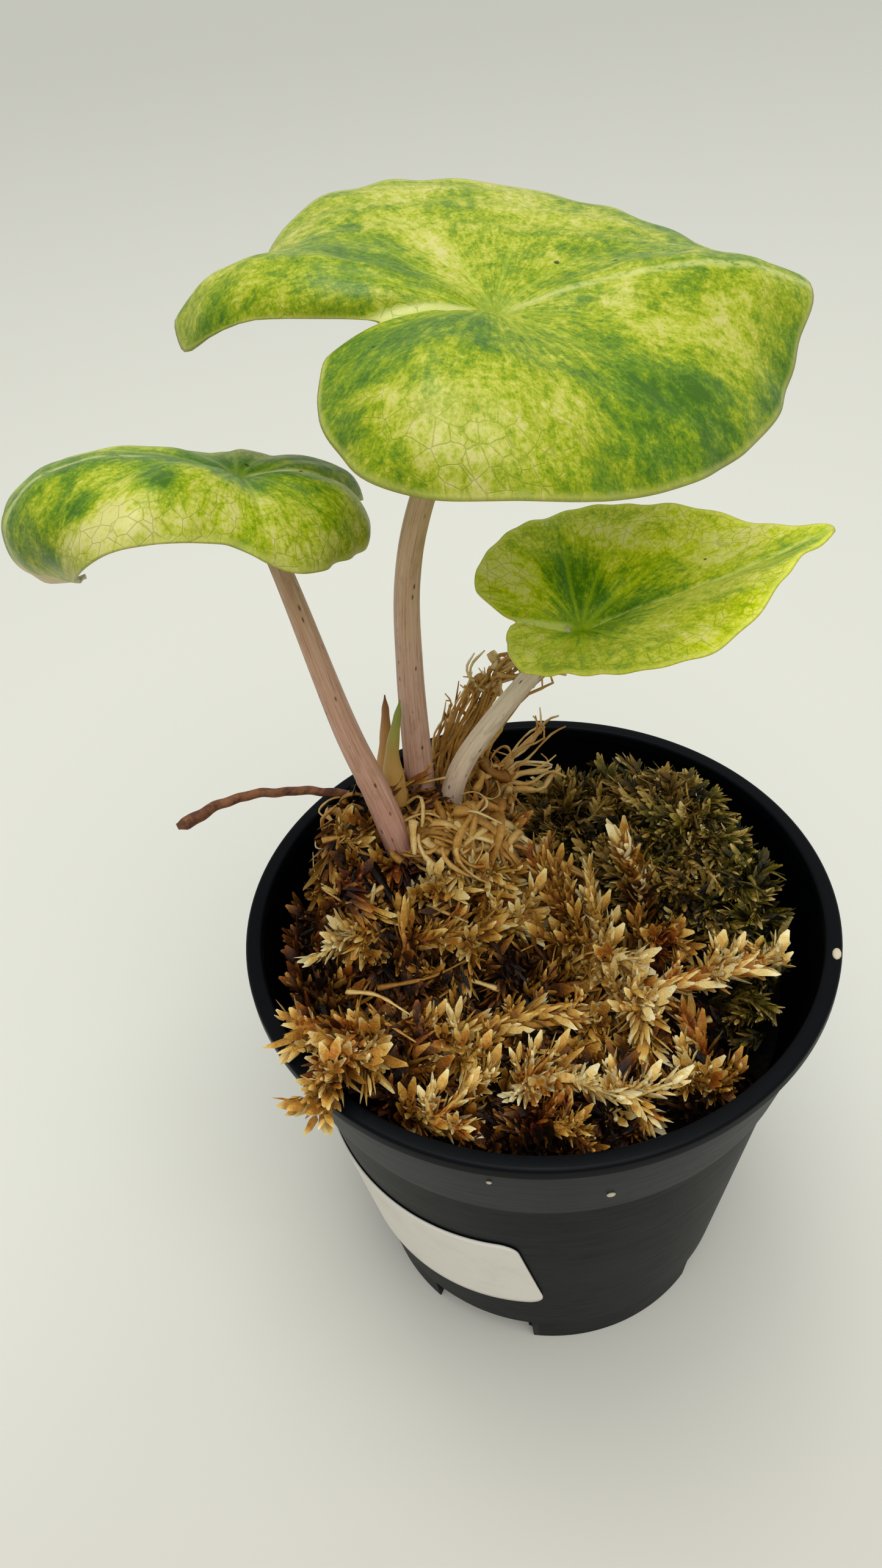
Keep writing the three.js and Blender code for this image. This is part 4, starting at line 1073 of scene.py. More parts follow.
def on_wall(u, v, offset):
    """A point u along and v up the unrolled wall from the label's middle, offset out of it."""
    slope = math.atan(WALL_RISE)
    tilt = math.radians(LABEL_TILT)
    across = u * math.cos(tilt) - v * math.sin(tilt)
    middle_radius = FOOT_RADIUS + WALL_RISE * LABEL_MIDDLE_HEIGHT
    outward = middle_radius / math.sin(slope) + u * math.sin(tilt) + v * math.cos(tilt)
    slant = math.hypot(across, outward)
    heading = math.radians(LABEL_HEADING) + math.atan2(across, outward) / math.sin(slope)
    radius = slant * math.sin(slope) + offset * math.cos(slope)
    height = slant * math.cos(slope) - FOOT_RADIUS / math.tan(slope) - offset * math.sin(slope)
    return Vector((radius * math.cos(heading), radius * math.sin(heading), height))


def perlite_piece():
    """Crumbs of perlite that stick to the rim and the band."""
    made, tree, shader = material("perlite")
    set_inputs(tree, shader, {"Base Color": linear(0xC2B69E), "Roughness": 0.8})
    bm = bmesh.new()
    for place, size in PERLITE:
        pose = Matrix.Translation(place) @ Matrix.Rotation(math.atan2(place[1], place[0]), 4, "Z")
        grown = pose @ Matrix.Diagonal((*size, 1))
        bmesh.ops.create_icosphere(bm, subdivisions=2, radius=0.5, matrix=grown)
    return finished("perlite_crumbs", bm, [made])


def label_piece(thickness):
    """The blank label: a rounded sheet of paper wrapped on the wall."""
    half = LABEL_LENGTH / 2

    def place(u, v):
        along = half * math.sin(math.pi * (u - 0.5))
        from_end = half - abs(along)
        inset = 0.0
        if from_end < LABEL_CORNER:
            inset = LABEL_CORNER - math.sqrt(max(0, LABEL_CORNER**2 - (LABEL_CORNER - from_end) ** 2))
        up = (v - 0.5) * (LABEL_HEIGHT - 2 * inset)
        return on_wall(along, up, LABEL_GAP)

    bm = woven(bmesh.new(), columns=120, rows=24, place=place)
    piece = finished("blank_label", bm, [label_paper("label_paper")], LABEL_SHARP_ANGLE)
    shell = piece.modifiers.new("paper", "SOLIDIFY")
    shell.thickness = thickness
    shell.offset = 1
    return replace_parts(piece, "label")


# Leaves


def rib_length(leaf, heading):
    """The blade's reach from the stalk at a heading, shorter at the notch and longer at the tip."""
    to_notch = (180 - abs(heading)) / leaf["notch_width"]
    to_tip = heading / leaf["point_width"]
    length = around([rib[:2] for rib in leaf["ribs"]], heading)
    return length * (1 - leaf["notch_depth"] * bell(to_notch)) + leaf["point"] * bell(to_tip)


def rib_points(leaf, heading, rows):
    """The rib's points from the stalk to the margin, in mm."""
    length = rib_length(leaf, heading)
    lift, droop, sweep = (
        math.radians(around([(rib[0], rib[column]) for rib in leaf["ribs"]], heading))
        for column in (2, 3, 4))
    point = Vector((0, 0, 0))
    points = [point.copy()]
    for row in range(rows):
        share = (row + 0.5) / rows
        rise = lift + (droop - lift) * share**2
        side = math.radians(heading) + sweep * share**2
        level = math.cos(rise)
        point += Vector((level * math.cos(side), level * math.sin(side), math.sin(rise))) * length / rows
        points.append(point.copy())
    pose = (
        Matrix.Rotation(math.radians(leaf["turn"]), 3, "Z")
        @ Matrix.Rotation(math.radians(-leaf["pitch"]), 3, "Y")
        @ Matrix.Rotation(math.radians(leaf["roll"]), 3, "X")
    )
    return [pose @ p + Vector(leaf["joint"]) for p in points]


def blade_piece(name, skins, thickness, columns, rows):
    """One leaf blade: a sheet of ribs round the stalk's joint, with its veins pressed in. The
    attribute guide makes the marbling darker or paler in the places that the leaf's table gives."""
    leaf = LEAVES[name]
    headings = [-180 + 360 * k / columns for k in range(columns + 1)]
    ribs = [rib_points(leaf, heading, rows) for heading in headings]
    lengths = [rib_length(leaf, heading) for heading in headings]

    def rib(v):
        return round(v * columns)

    def plan(u, v):
        turn = math.radians(headings[rib(v)])
        reach = u * lengths[rib(v)]
        return Vector((reach * math.cos(turn), reach * math.sin(turn), 0))

    def guide(u, v):
        spot = plan(u, v)
        return sum(
            amount * bell((spot.x - x) / wide) * bell((spot.y - y) / deep)
            for x, y, wide, deep, amount in MARBLING[name])

    bm = woven(
        bmesh.new(), rows, columns,
        lambda u, v: ribs[rib(v)][round(u * rows)],
        [
            ("plan", "float_vector", plan),
            ("rim", "float", lambda u, v: (1 - u) * lengths[rib(v)]),
            ("guide", "float", guide),
        ],
    )
    bm.normal_update()
    plan_layer = bm.verts.layers.float_vector["plan"]
    rim_layer = bm.verts.layers.float["rim"]
    for vert in bm.verts:
        x, y = vert[plan_layer].xy
        reach = math.hypot(x, y)
        heading = math.atan2(y, x)
        gap = abs(math.sin(VEIN_FAN * (abs(heading) + VEIN_BEND * reach))) * reach / VEIN_FAN
        press = VEIN_PRESS * bell(gap / VEIN_WIDTH) * math.exp(-reach / VEIN_REACH)
        press += MIDRIB_PRESS * bell(y / MIDRIB_WIDTH) * math.exp(-reach / MIDRIB_REACH)
        quilting = math.sin(0.55 * x + 0.3 * y) * math.sin(0.6 * y - 0.25 * x + 1)
        quilting *= QUILT_HEIGHT * min(1, reach / QUILT_START)
        ripple = math.sin(7 * heading + 2) * math.sin(17 * heading + 1)
        ripple *= RIPPLE_HEIGHT * math.exp(-vert[rim_layer] / RIPPLE_REACH)
        vert.co += vert.normal * (quilting + ripple - press)
    piece = finished(f"leaf_{name}", bm, skins)
    shell = piece.modifiers.new("thickness", "SOLIDIFY")
    shell.thickness = thickness
    shell.offset = 0
    shell.material_offset = 1
    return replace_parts(piece, f"blade_{name}")


def petiole_piece(name, skin):
    """One leaf stalk, round, a little swollen at its foot and flared under the blade."""
    spec = STALKS[name]
    joint = Vector(LEAVES[name]["joint"])
    under_joint = joint + (Vector(spec["route"][-1]) - joint).normalized() * STALK_JOINT_GAP
    route = Route((*spec["route"], under_joint), stations=60)

    def radius(share, turn):
        size = 0.5 * (spec["foot"] + (spec["head"] - spec["foot"]) * share)
        ridge = 0.03 * math.sin(7 * turn + 3 * share) + 0.02 * math.sin(13 * turn)
        flare = STALK_FLARE * bell((1 - share) / 0.03)
        return size * (1 + ridge) + flare

    bm = tube(bmesh.new(), route, radius, sides=28, rows=90)
    piece = finished(f"stalk_{name}", bm, [skin])
    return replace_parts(piece, f"petiole_{name}")


def spike_piece(name, node, points, skin, hook):
    """New growth: a spike that swells above its foot, with a hooked papery tip."""
    points = [*points[:-1], tuple(a + b for a, b in zip(points[-1], hook))]

    def radius(share, turn):
        return SPIKE_RADIUS * stepped(SPIKE_SWELL, share) * (1 + 0.12 * math.cos(turn - 5 * share))

    bm = tube(bmesh.new(), Route(points, stations=40), radius, sides=18, rows=60)
    piece = finished(name, bm, [skin])
    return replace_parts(piece, node)


def dry_root_piece(skin):
    """The dry stalk over the rim: knotted, and thicker at its broken end."""

    def radius(share, turn):
        knots = 0.12 * math.sin(31 * share + 2 * math.cos(turn)) + 0.1 * math.sin(57 * share + turn)
        return DRY_ROOT_RADIUS * stepped(DRY_ROOT_TAPER, share) * (1 + knots)

    bm = tube(bmesh.new(), Route(DRY_ROOT, stations=60), radius, sides=12, rows=90)
    piece = finished("dry_stalk", bm, [skin])
    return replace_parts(piece, "dry_root")


# Moss


def heaped(level, mounds, x, y):
    """The height of a level with round mounds on it."""
    for mound_x, mound_y, height, spread in mounds:
        away = (x - mound_x) ** 2 + (y - mound_y) ** 2
        level += height * math.exp(-away / (2 * spread**2))
    return level


def lumps(x, y):
    """Uneven lumps about 6 mm apart, from -1.6 to 1.6."""
    return math.sin(0.62 * x + 0.9) * math.cos(0.55 * y - 0.4) + 0.6 * math.sin(0.95 * y + 0.45 * x)


def moss_height(x, y):
    """The height of the tan bed, which dips beside the wall."""
    beside_wall = max(0, (math.hypot(x, y) - WALL_DIP_REACH) / WALL_DIP_WIDTH)
    heap = heaped(MOSS_LEVEL, MOSS_MOUNDS + MOSS_HOLLOWS, x, y)
    return heap + MOSS_LUMP * lumps(x, y) - WALL_DIP * beside_wall**2


def bank_height(x, y):
    """The height of the olive bank."""
    return heaped(BANK_LEVEL, BANK_MOUNDS, x, y) + BANK_LUMP * lumps(1.3 * x, 1.3 * y)


def bank_share(x, y):
    """How far a place lies from the bank's middle, as a share of the bank's reach there."""
    dx, dy = x - BANK_CENTRE[0], y - BANK_CENTRE[1]
    return math.hypot(dx, dy) / around(BANK_REACH, math.degrees(math.atan2(dy, dx)))


def on_bank(turn, share):
    """The place on the bank at a heading in radians and a share of its reach there."""
    reach = around(BANK_REACH, math.degrees(turn)) * share
    return BANK_CENTRE[0] + reach * math.cos(turn), BANK_CENTRE[1] + reach * math.sin(turn)


def sprig_pattern(name):
    """A straight sprig of unit height and radius: pointed, cupped leaves in a spiral on a stem.
    The attribute tone is 0 in the middle, with a draw for each leaf, and paler to each tip."""
    leaves, tip_reach, leaf_length, width, flare, seed, stem, pale = SPRIGS[name]
    bm = bmesh.new()
    tone = bm.verts.layers.float.new("tone")
    draw = draws(seed)
    stem_height = 0.98
    bmesh.ops.create_cone(
        bm, segments=5, radius1=stem, radius2=0.25 * stem, depth=stem_height,
        matrix=Matrix.Translation((0, 0, stem_height / 2)))
    for vert in bm.verts:
        vert[tone] = DARK_TONE + pale * (vert.co.z - 0.5)
    for index in range(leaves):
        foot = 0.93 * (index + 0.8 * next(draw)) / leaves
        size = drawn(draw, 0.6, 1.4)
        turn = index * GOLDEN_TURN + drawn(draw, 0, 1.5)
        shade = drawn(draw, -0.2, 0.2) + pale * (foot - 0.5)
        reach_out = tip_reach * drawn(draw, 0.45, 1.35) * (1 - 0.3 * foot**2)
        curl = drawn(draw, -0.35, 0.35)
        twist = drawn(draw, -1.1, 1.1)
        out = pointing(turn)
        aside = pointing(turn + math.pi / 2) * math.cos(twist)
        aside.z = 0.17 * math.sin(twist)
        corners = bmesh.ops.create_circle(bm, cap_ends=True, cap_tris=True, segments=6, radius=0.5)["verts"]
        for corner in corners:
            # the hexagon's corner becomes a point of the leaf, t of the way from its foot to its tip
            t = corner.co.x + 0.5
            middle = corner.co.length < 0.1
            if 0.6 < t < 0.9:
                t = 0.62
            reach = 0.7 * stem + (reach_out * size - 0.7 * stem) * t**flare + (0.2 if middle else 0)
            height = foot + leaf_length * size * t
            corner[tone] = shade + 0.36 * t**2 - 0.14
            across = 2 * corner.co.y * width * size * (1.25 - 0.9 * t) + curl * t**2
            corner.co = out * reach + aside * across + Vector((0, 0, height))
    bm.normal_update()
    mesh = bpy.data.meshes.new(name)
    bm.to_mesh(mesh)
    bm.free()
    return mesh


def plant_sprig(bm, pattern, points, radius, tone):
    """Bends a sprig pattern along a route and adds it to the moss, in its own tone."""
    route = Route(points, stations=10)
    if "tone" not in bm.verts.layers.float:
        bm.verts.layers.float.new("tone")
    before = len(bm.verts)
    bm.from_mesh(pattern)
    bm.verts.ensure_lookup_table()
    layer = bm.verts.layers.float["tone"]
    end_step = (route.points[-1] - route.points[-2]) * (len(route.points) - 1)
    for vert in bm.verts[before:]:
        share = vert.co.z
        past_end = end_step * max(0, share - 1)
        vert.co = route.place(vert.co.x * radius, vert.co.y * radius, share) + past_end
        vert[layer] += tone + 0.1 * (share - 0.5)


def side_sprigs(bm, pattern, points, radius, tone, count, draw):
    """Short sprigs that branch off a strand to all sides and upwards."""
    route = Route(points, stations=20)
    for _ in range(count):
        share = drawn(draw, 0.1, 0.9)
        foot = route.place(0, 0, share)
        out = scattered(draw, 1)
        out.z = abs(out.z) + 0.05
        onwards = (route.place(0, 0, share + 0.1) - foot).normalized()
        reach = out.normalized() * drawn(draw, 3, 6.5) + onwards * 2.5
        size = drawn(draw, 0.55, 0.9) * radius
        side_tone = tone + drawn(draw, -0.12, 0.18)
        plant_sprig(bm, pattern, [foot, foot + 0.5 * reach, foot + reach], size, side_tone)


def wall_sprigs(count, seed):
    """Routes of short sprigs that lean on the pot's wall on the left and at the front."""
    draw = draws(seed)
    first, last = WALL_SPRIG_HEADINGS
    inner, outer = WALL_SPRIG_REACH
    for index in range(count):
        heading = math.radians(first + (last - first) * index / count)
        aside = drawn(draw, -2.5, 2.5)
        top = drawn(draw, *WALL_SPRIG_TOP)
        spots = []
        for share in (0, 0.5, 1):
            reach = inner + (outer - inner) * share
            x, y = (pointing(heading + share * aside / reach) * reach).xy
            foot = moss_height(x, y) - 1
            spots.append((x, y, foot + (top - foot) * share))
        yield spots, drawn(draw, 1.3, 2.1)


def tangle(bm, centre, spread, loop, count, draw, tone):
    """Loose fibres that loop about, each in a plane of its own."""
    for _ in range(count):
        middle = Vector(centre) + Vector([drawn(draw, -size, size) for size in spread])
        normal = scattered(draw, 1).normalized()
        side = normal.orthogonal().normalized()
        top = normal.cross(side)
        turn = 2 * math.pi * next(draw)
        size = loop * drawn(draw, 0.5, 1.2)
        points = []
        for step in range(6):
            reach = size * drawn(draw, 0.7, 1.2)
            loop_point = (side * math.cos(turn) + top * math.sin(turn)) * reach
            points.append(middle + loop_point + normal * step * 0.3)
            turn += drawn(draw, 0.6, 1.4)
        strand(bm, points, 0.3 + 0.7 * next(draw) ** 2, tone + drawn(draw, -0.2, 0.2))


def frayed(bm, points, spread, count, draw, tone):
    """Fibres that wander side by side along a route, with ends that turn aside."""
    hook = 1.5
    points = [Vector(p) for p in points]
    ends = [*points, points[-1] + (points[-1] - points[-2]).normalized() * hook]
    for _ in range(count):
        own = scattered(draw, 1.7 * spread)
        moved = []
        for a, b in zip(ends, ends[1:]):
            bends = [scattered(draw, 2 * spread) for _ in range(2)]
            moved.append(a + own + 0.5 * bends[0])
            moved.append(a.lerp(b, 0.5) + own + bends[1])
        moved[-1] += scattered(draw, 2.5 * hook)
        strand(bm, moved, 0.5 + 0.8 * next(draw) ** 2, tone + drawn(draw, -0.2, 0.2))


def strand(bm, points, radius, tone):
    """One flattened fibre along a route, that thins to its end."""

    def size(share, turn):
        return radius * (1 - 0.75 * share) * (1 + 0.2 * math.sin(23 * share) + 0.5 * math.cos(2 * turn))

    marks = [("tone", "float", lambda u, v: tone + 0.12 * u)]
    tube(bm, Route(points, stations=20), size, sides=5, rows=18, marks=marks)


def bed_sprigs(count, seed, reach_limit, scale=1.0, lift=1.0):
    """Routes of the sprigs that lie all over the bed and turn back from its border."""
    draw = draws(seed)
    for index in range(count):
        turn = index * GOLDEN_TURN
        reach = reach_limit * math.sqrt((index + 0.5) / count)
        foot = pointing(turn) * reach
        length = drawn(draw, *SPRIG_LENGTH) * scale
        radius = drawn(draw, *SPRIG_RADIUS)
        middle_lift = radius + drawn(draw, *SPRIG_MIDDLE_LIFT)
        tip_lift = drawn(draw, *SPRIG_TIP_LIFT)
        aside = next(draw)
        heading = 2 * math.pi * aside
        if reach > SPRIG_TURN_REACH:
            first, last = SPRIG_TURN_BACK
            heading = turn + math.radians(first + (last - first) * aside)
        spots = [(foot + pointing(heading) * share * length).xy for share in (0, 0.5, 1)]
        if any(bank_share(*spot) < SPRIG_BANK_SHARE for spot in spots):
            continue
        lifts = (-SPRIG_ROOT_DEPTH, middle_lift * lift, tip_lift * lift)
        yield [(*spot, moss_height(*spot) + rise) for spot, rise in zip(spots, lifts)], radius


def bank_tufts(count, seed, outer=TUFT_REACH, flat=0.0):
    """Routes of the short tufts on the bank, upright or laid flat; those beyond its edge lie lower."""
    draw = draws(seed)
    for index in range(count):
        share = outer * math.sqrt((index + 0.5) / count)
        x, y = on_bank(index * GOLDEN_TURN, share)
        z = bank_height(x, y) - TUFT_SINK * max(0, share - BANK_SHOULDER)
        toward = pointing(2 * math.pi * next(draw))
        lean = drawn(draw, *TUFT_LEAN) + 3 * flat
        rise = Vector((0, 0, drawn(draw, *TUFT_RISE) * (1 - 0.75 * flat)))
        radius = drawn(draw, *TUFT_RADIUS)
        if math.hypot(x, y) > SPRIG_REACH:
            continue
        foot = Vector((x, y, max(z, moss_height(x, y) - 1)))
        middle = foot + toward * 0.4 * lean + 0.5 * rise
        tip = foot + toward * lean + rise
        if math.hypot(tip.x, tip.y) > TUFT_WALL_REACH:
            tip = foot - toward * lean + rise
            middle = foot.lerp(tip, 0.5)
        yield [foot - Vector((0, 0, TUFT_ROOT_DEPTH - 2 * flat)), middle, tip], radius


def bed_piece(skin):
    """The dark core of the moss, with lumps and pits, down to the pot's floor."""
    floor = WALL + CLEARANCE
    channel_top = CHANNEL_HEIGHT + floor
    # the share of the sheet's way that goes up the side of the core
    rise = 0.3
    side = (
        (0, floor),
        (CHANNEL_INNER_RADIUS - WALL - 0.6, floor),
        (CHANNEL_INNER_RADIUS - 0.4, channel_top),
        (FOOT_RADIUS + WALL_RISE * channel_top - floor, channel_top),
        (MOSS_RADIUS, BAND_FOOT_HEIGHT - 2),
        (MOSS_RADIUS, BAND_FOOT_HEIGHT),
    )

    def place(u, v):
        turn = 2 * math.pi * v
        if u > rise:
            x, y = (pointing(turn) * MOSS_RADIUS * (1 - (u - rise) / (1 - rise))).xy
            pits = 1.1 * math.sin(1.7 * x + 0.8 * y) * math.sin(1.5 * y - 0.6 * x)
            return Vector((x, y, moss_height(x, y) - 1.2 + pits))
        spot = min(u / rise * (len(side) - 1), len(side) - 1.001)
        start, end = Vector(side[int(spot)]), Vector(side[int(spot) + 1])
        reach, height = start.lerp(end, spot - int(spot))
        return Vector((reach * math.cos(turn), reach * math.sin(turn), height))

    bm = woven(bmesh.new(), columns=100, rows=160, place=place)
    bmesh.ops.recalc_face_normals(bm, faces=bm.faces)
    piece = finished("moss_core", bm, [skin])
    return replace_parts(piece, "moss_tan")


def bank_piece(skin):
    """The dark core of the olive bank."""
    # the share of the sheet's way that lies underneath
    under = 0.25
    edge = BANK_FLOOR + 4

    def place(u, v):
        share = 1 - (u - under) / (1 - under) if u > under else u / under
        x, y = on_bank(2 * math.pi * v, share)
        if u <= under:
            return Vector((x, y, BANK_FLOOR))
        pits = 0.8 * math.sin(2.1 * x + 0.8 * y) * math.sin(1.9 * y - 0.6 * x)
        roof = edge + (bank_height(x, y) - edge + pits - 0.8) * math.sqrt(max(0, 1 - share**5))
        return Vector((x, y, roof))

    bm = woven(bmesh.new(), columns=60, rows=120, place=place)
    bmesh.ops.recalc_face_normals(bm, faces=bm.faces)
    piece = finished("bank_core", bm, [skin])
    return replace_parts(piece, "moss_green")


def large_sprigs(patterns, draw):
    """The sprigs of the bed, the strands over it with their side sprigs, and the dead leaf."""
    short = patterns["short"]
    kinds = [patterns[kind] for kind in ("catkin", "tipped", "lax", "ragged")]
    bm = bmesh.new()
    for points, radius in bed_sprigs(SPRIG_COUNT, seed=41, reach_limit=SPRIG_REACH):
        tone = drawn(draw, 0.08, 0.58)
        plant_sprig(bm, kinds[int(len(kinds) * next(draw))], points, 1.25 * radius, tone)
        side_sprigs(bm, short, points, 1.2 * radius, tone, 2, draw)
    for radius, tone, kind, points in STRANDS:
        over_rim = math.hypot(*points[-1][:2]) > MOSS_RADIUS
        for step in range(len(points) - 2):
            plant_sprig(bm, patterns[kind], points[step:step + 3], 1.05 * radius, tone - 0.08)
        if not over_rim:
            plant_sprig(bm, short, points[-2:], 0.9 * radius, tone)
        if kind != "tipped":
            branched = points[:-1] if over_rim else points
            side_sprigs(bm, short, branched, radius, tone, 2 * len(points), draw)
        if kind == "lax":
            plant_sprig(bm, patterns["broad"], points, radius, tone)
    for radius, points in DEAD_LEAF:
        strand(bm, points, radius, DARK_TONE)
    return bm


def fine_sprigs(patterns, draw, count):
    """The dull small sprigs between the large ones, and those that lean on the pot's wall. Both are
    drawn in darker tones than the large sprigs, as painted shade.
    """
    loose = (patterns["lax"], patterns["ragged"])
    bm = bmesh.new()
    routes = bed_sprigs(count, seed=1234, reach_limit=FINE_SPRIG_REACH, scale=0.85, lift=0.3)
    for points, radius in routes:
        # painted shade: these sprigs take darker tones than the large ones
        plant_sprig(bm, loose[int(len(loose) * next(draw))], points, radius, drawn(draw, -0.08, 0.36))
    for points, radius in wall_sprigs(WALL_SPRIG_COUNT, seed=313):
        plant_sprig(bm, patterns["short"], points, radius, drawn(draw, 0.04, 0.38))
    return bm


def loose_fibres(draw):
    """The tangles and frayed tufts of dead moss, and the single threads that lie on the bed."""
    bm = bmesh.new()
    for centre, spread, loop, count, tone in TANGLES:
        tangle(bm, centre, spread, loop, count, draw, tone)
    for radius, points in HORNS:
        strand(bm, points, radius, HORN_TONE)
        frayed(bm, points, 0.9 * radius, HORN_FIBRES, draw, HORN_TONE)
    for radius, tone, points in FIBRES:
        frayed(bm, points, radius, TUFT_FIBRES, draw, tone)
    for _ in range(BED_THREAD_COUNT):
        x = drawn(draw, -BED_THREAD_REACH, BED_THREAD_REACH)
        y = drawn(draw, -BED_THREAD_REACH, BED_THREAD_REACH)
        if math.hypot(x, y) > BED_THREAD_REACH - 1 or bank_share(x, y) < 1:
            continue
        along = pointing(2 * math.pi * next(draw))
        length = drawn(draw, 3, 8)
        along.z = drawn(draw, -0.15, 0.15)
        along *= length
        middle = Vector((x, y, moss_height(x, y) + drawn(draw, 3.5, 5.5)))
        bend = scattered(draw, 2.5)
        size = drawn(draw, 0.2, 0.5)
        strand(bm, [middle - along, middle + bend, middle + along], size, drawn(draw, 0.3, 0.7))
    return bm


def bank_cover(draw, count):
    """The tufts of the olive bank, its fine flat tufts, and the threads that lie on them."""
    fine = (sprig_pattern("fine"), sprig_pattern("fine_ragged"))
    bm = bmesh.new()
    for points, radius in bank_tufts(TUFT_COUNT, seed=17):
        plant_sprig(bm, fine[0], points, radius, drawn(draw, 0.25, 0.65))
    for points, radius in bank_tufts(count, seed=555, outer=1.25, flat=0.7):
        plant_sprig(bm, fine[int(len(fine) * next(draw))], points, 0.85 * radius, drawn(draw, 0.02, 0.62))
    for _ in range(BANK_THREAD_COUNT):
        turn = 2 * math.pi * next(draw)
        share = 0.95 * math.sqrt(next(draw))
        x, y = on_bank(turn, share)
        along = pointing(2 * math.pi * next(draw))
        along *= drawn(draw, 1, 3)
        sink = THREAD_SINK * max(0, share - BANK_SHOULDER)
        middle = Vector((x, y, bank_height(x, y) + drawn(draw, 1.2, 2.2) - sink))
        bend = Vector((next(draw) - 0.5, next(draw) - 0.5, 0.8))
        strand(bm, [middle - along, middle + bend, middle + along], 0.3, drawn(draw, 0.2, 0.6))
    return bm


# Settings


class PotSettings(bpy.types.PropertyGroup):
    """Pot and label."""

    steps: bpy.props.IntProperty(name="Steps", description="Faces round the pot", default=180, min=48)
    paper: bpy.props.FloatProperty(
        name="Label paper", description="Thickness of the label", default=0.3 * MM, unit="LENGTH",
        precision=5)


class LeafSettings(bpy.types.PropertyGroup):
    """Leaves and stalks."""

    thickness: bpy.props.FloatProperty(
        name="Thickness", description="Thickness of a blade", default=0.35 * MM, unit="LENGTH", precision=5)
    columns: bpy.props.IntProperty(name="Columns", description="Ribs round a blade", default=240, min=48)
    rows: bpy.props.IntProperty(name="Rows", description="Faces along a rib", default=72, min=12)


class MossSettings(bpy.types.PropertyGroup):
    """Moss bed and bank."""

    extra_sprigs: bpy.props.IntProperty(
        name="Fine sprigs", description="Sprigs added between the large ones", default=420, min=0)
    extra_tufts: bpy.props.IntProperty(
        name="Fine tufts", description="Tufts added on the bank", default=760, min=0)


class StageSettings(bpy.types.PropertyGroup):
    """Floor and light."""

    floor: bpy.props.FloatVectorProperty(
        name="Floor", description="Colour of the floor", subtype="COLOR", size=4, default=linear(0xCDCDC4))
    sun: bpy.props.FloatProperty(name="Key", description="Strength of the soft key light", default=1.5)
    top: bpy.props.FloatProperty(
        name="Top light", description="Power of the light overhead", default=1.2, unit="POWER")
    sky: bpy.props.FloatProperty(
        name="Sky", description="Strength of the light from all round", default=0.65)


# Operators


class PLANT_OT_pot(bpy.types.Operator):
    """Model the nursery pot and its blank label"""

    bl_idname = "plant.pot"
    bl_label = "Pot and label"

    def execute(self, context):
        settings = context.scene.plant_pot
        pot_piece(settings.steps)
        label_piece(settings.paper)
        perlite_piece()
        return {"FINISHED"}


class PLANT_OT_leaves(bpy.types.Operator):
    """Model the three leaf blades"""

    bl_idname = "plant.leaves"
    bl_label = "Leaves"

    def execute(self, context):
        settings = context.scene.plant_leaves
        skins = {
            "large": [
                leaf_skin(
                    "leaf_large_upper", seed=3.0, cream=0.02, veins=0.3,
                    dry_tip=(43.5, 0xB09058), saturation_and_painted_light=(1.04, 0.87)),
                leaf_skin("leaf_large_under", seed=5.0, cream=0.0, veins=0.0, underside=True),
            ],
            "left": [
                leaf_skin(
                    "leaf_left_upper", seed=21.0, cream=0.02, veins=0.25,
                    dry_tip=(38.5, 0xD6C48E), saturation_and_painted_light=(1.04, 0.91)),
                leaf_curl("leaf_left_under"),
            ],
            "right": [
                # painted light: the right leaf is brightened and its cream raised, making up for the large
                # leaf's shade on it
                leaf_skin(
                    "leaf_right_upper", seed=47.0, cream=0.12, veins=0.35,
                    dry_tip=(35.8, 0x6A4A26), saturation_and_painted_light=(1.14, 1.44)),
                leaf_skin("leaf_right_under", seed=9.0, cream=0.0, veins=0.0, underside=True),
            ],
        }
        for name, pair in skins.items():
            blade_piece(name, pair, settings.thickness, settings.columns, settings.rows)
        return {"FINISHED"}


class PLANT_OT_stalks(bpy.types.Operator):
    """Model the leaf stalks, the new growth, the dry stalk and the corm's skin"""

    bl_idname = "plant.stalks"
    bl_label = "Stalks"

    def execute(self, context):
        for name, finish, foot, middle, head, streak in (
            ("large", "stalk_pink", 0xC5988A, 0xD4AE96, 0xCEAF84, 0x94624E),
            ("left", "stalk_pink_brown", 0xC89484, 0xD0A288, 0xC2A078, 0x8A563C),
            ("right", "stalk_cream", 0xEACDB4, 0xF2E4C6, 0xE8DCB0, 0xC8AA80),
        ):
            petiole_piece(name, stalk_skin(finish, foot, middle, head, streak))
        brown = sheath_skin(
            "sheath_brown", ((0.3, 0xC89C54), (0.75, 0xBE8E50), (0.97, 0x8A5A34)), length=29)
        green = sheath_skin(
            "sheath_green", ((0.3, 0xC89A50), (0.62, 0xC09A52), (0.78, 0xA4A04A), (0.9, 0x8C9A3E)),
            length=34)
        spike_piece("new_sheath_brown", "sheath_brown", SHEATH_BROWN, brown, (0.5, 0, 0.2))
        spike_piece("new_leaf_spear", "sheath_green", SHEATH_GREEN, green, (0.5, 0, 0))
        dry_root_piece(bark("dead_stalk", 0x8A5630, 0x4B2413))
        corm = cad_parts["corm"]
        corm.data.materials.clear()
        corm.data.materials.append(bark("corm_skin", 0x7A5B3C, 0x3A2415))
        return {"FINISHED"}


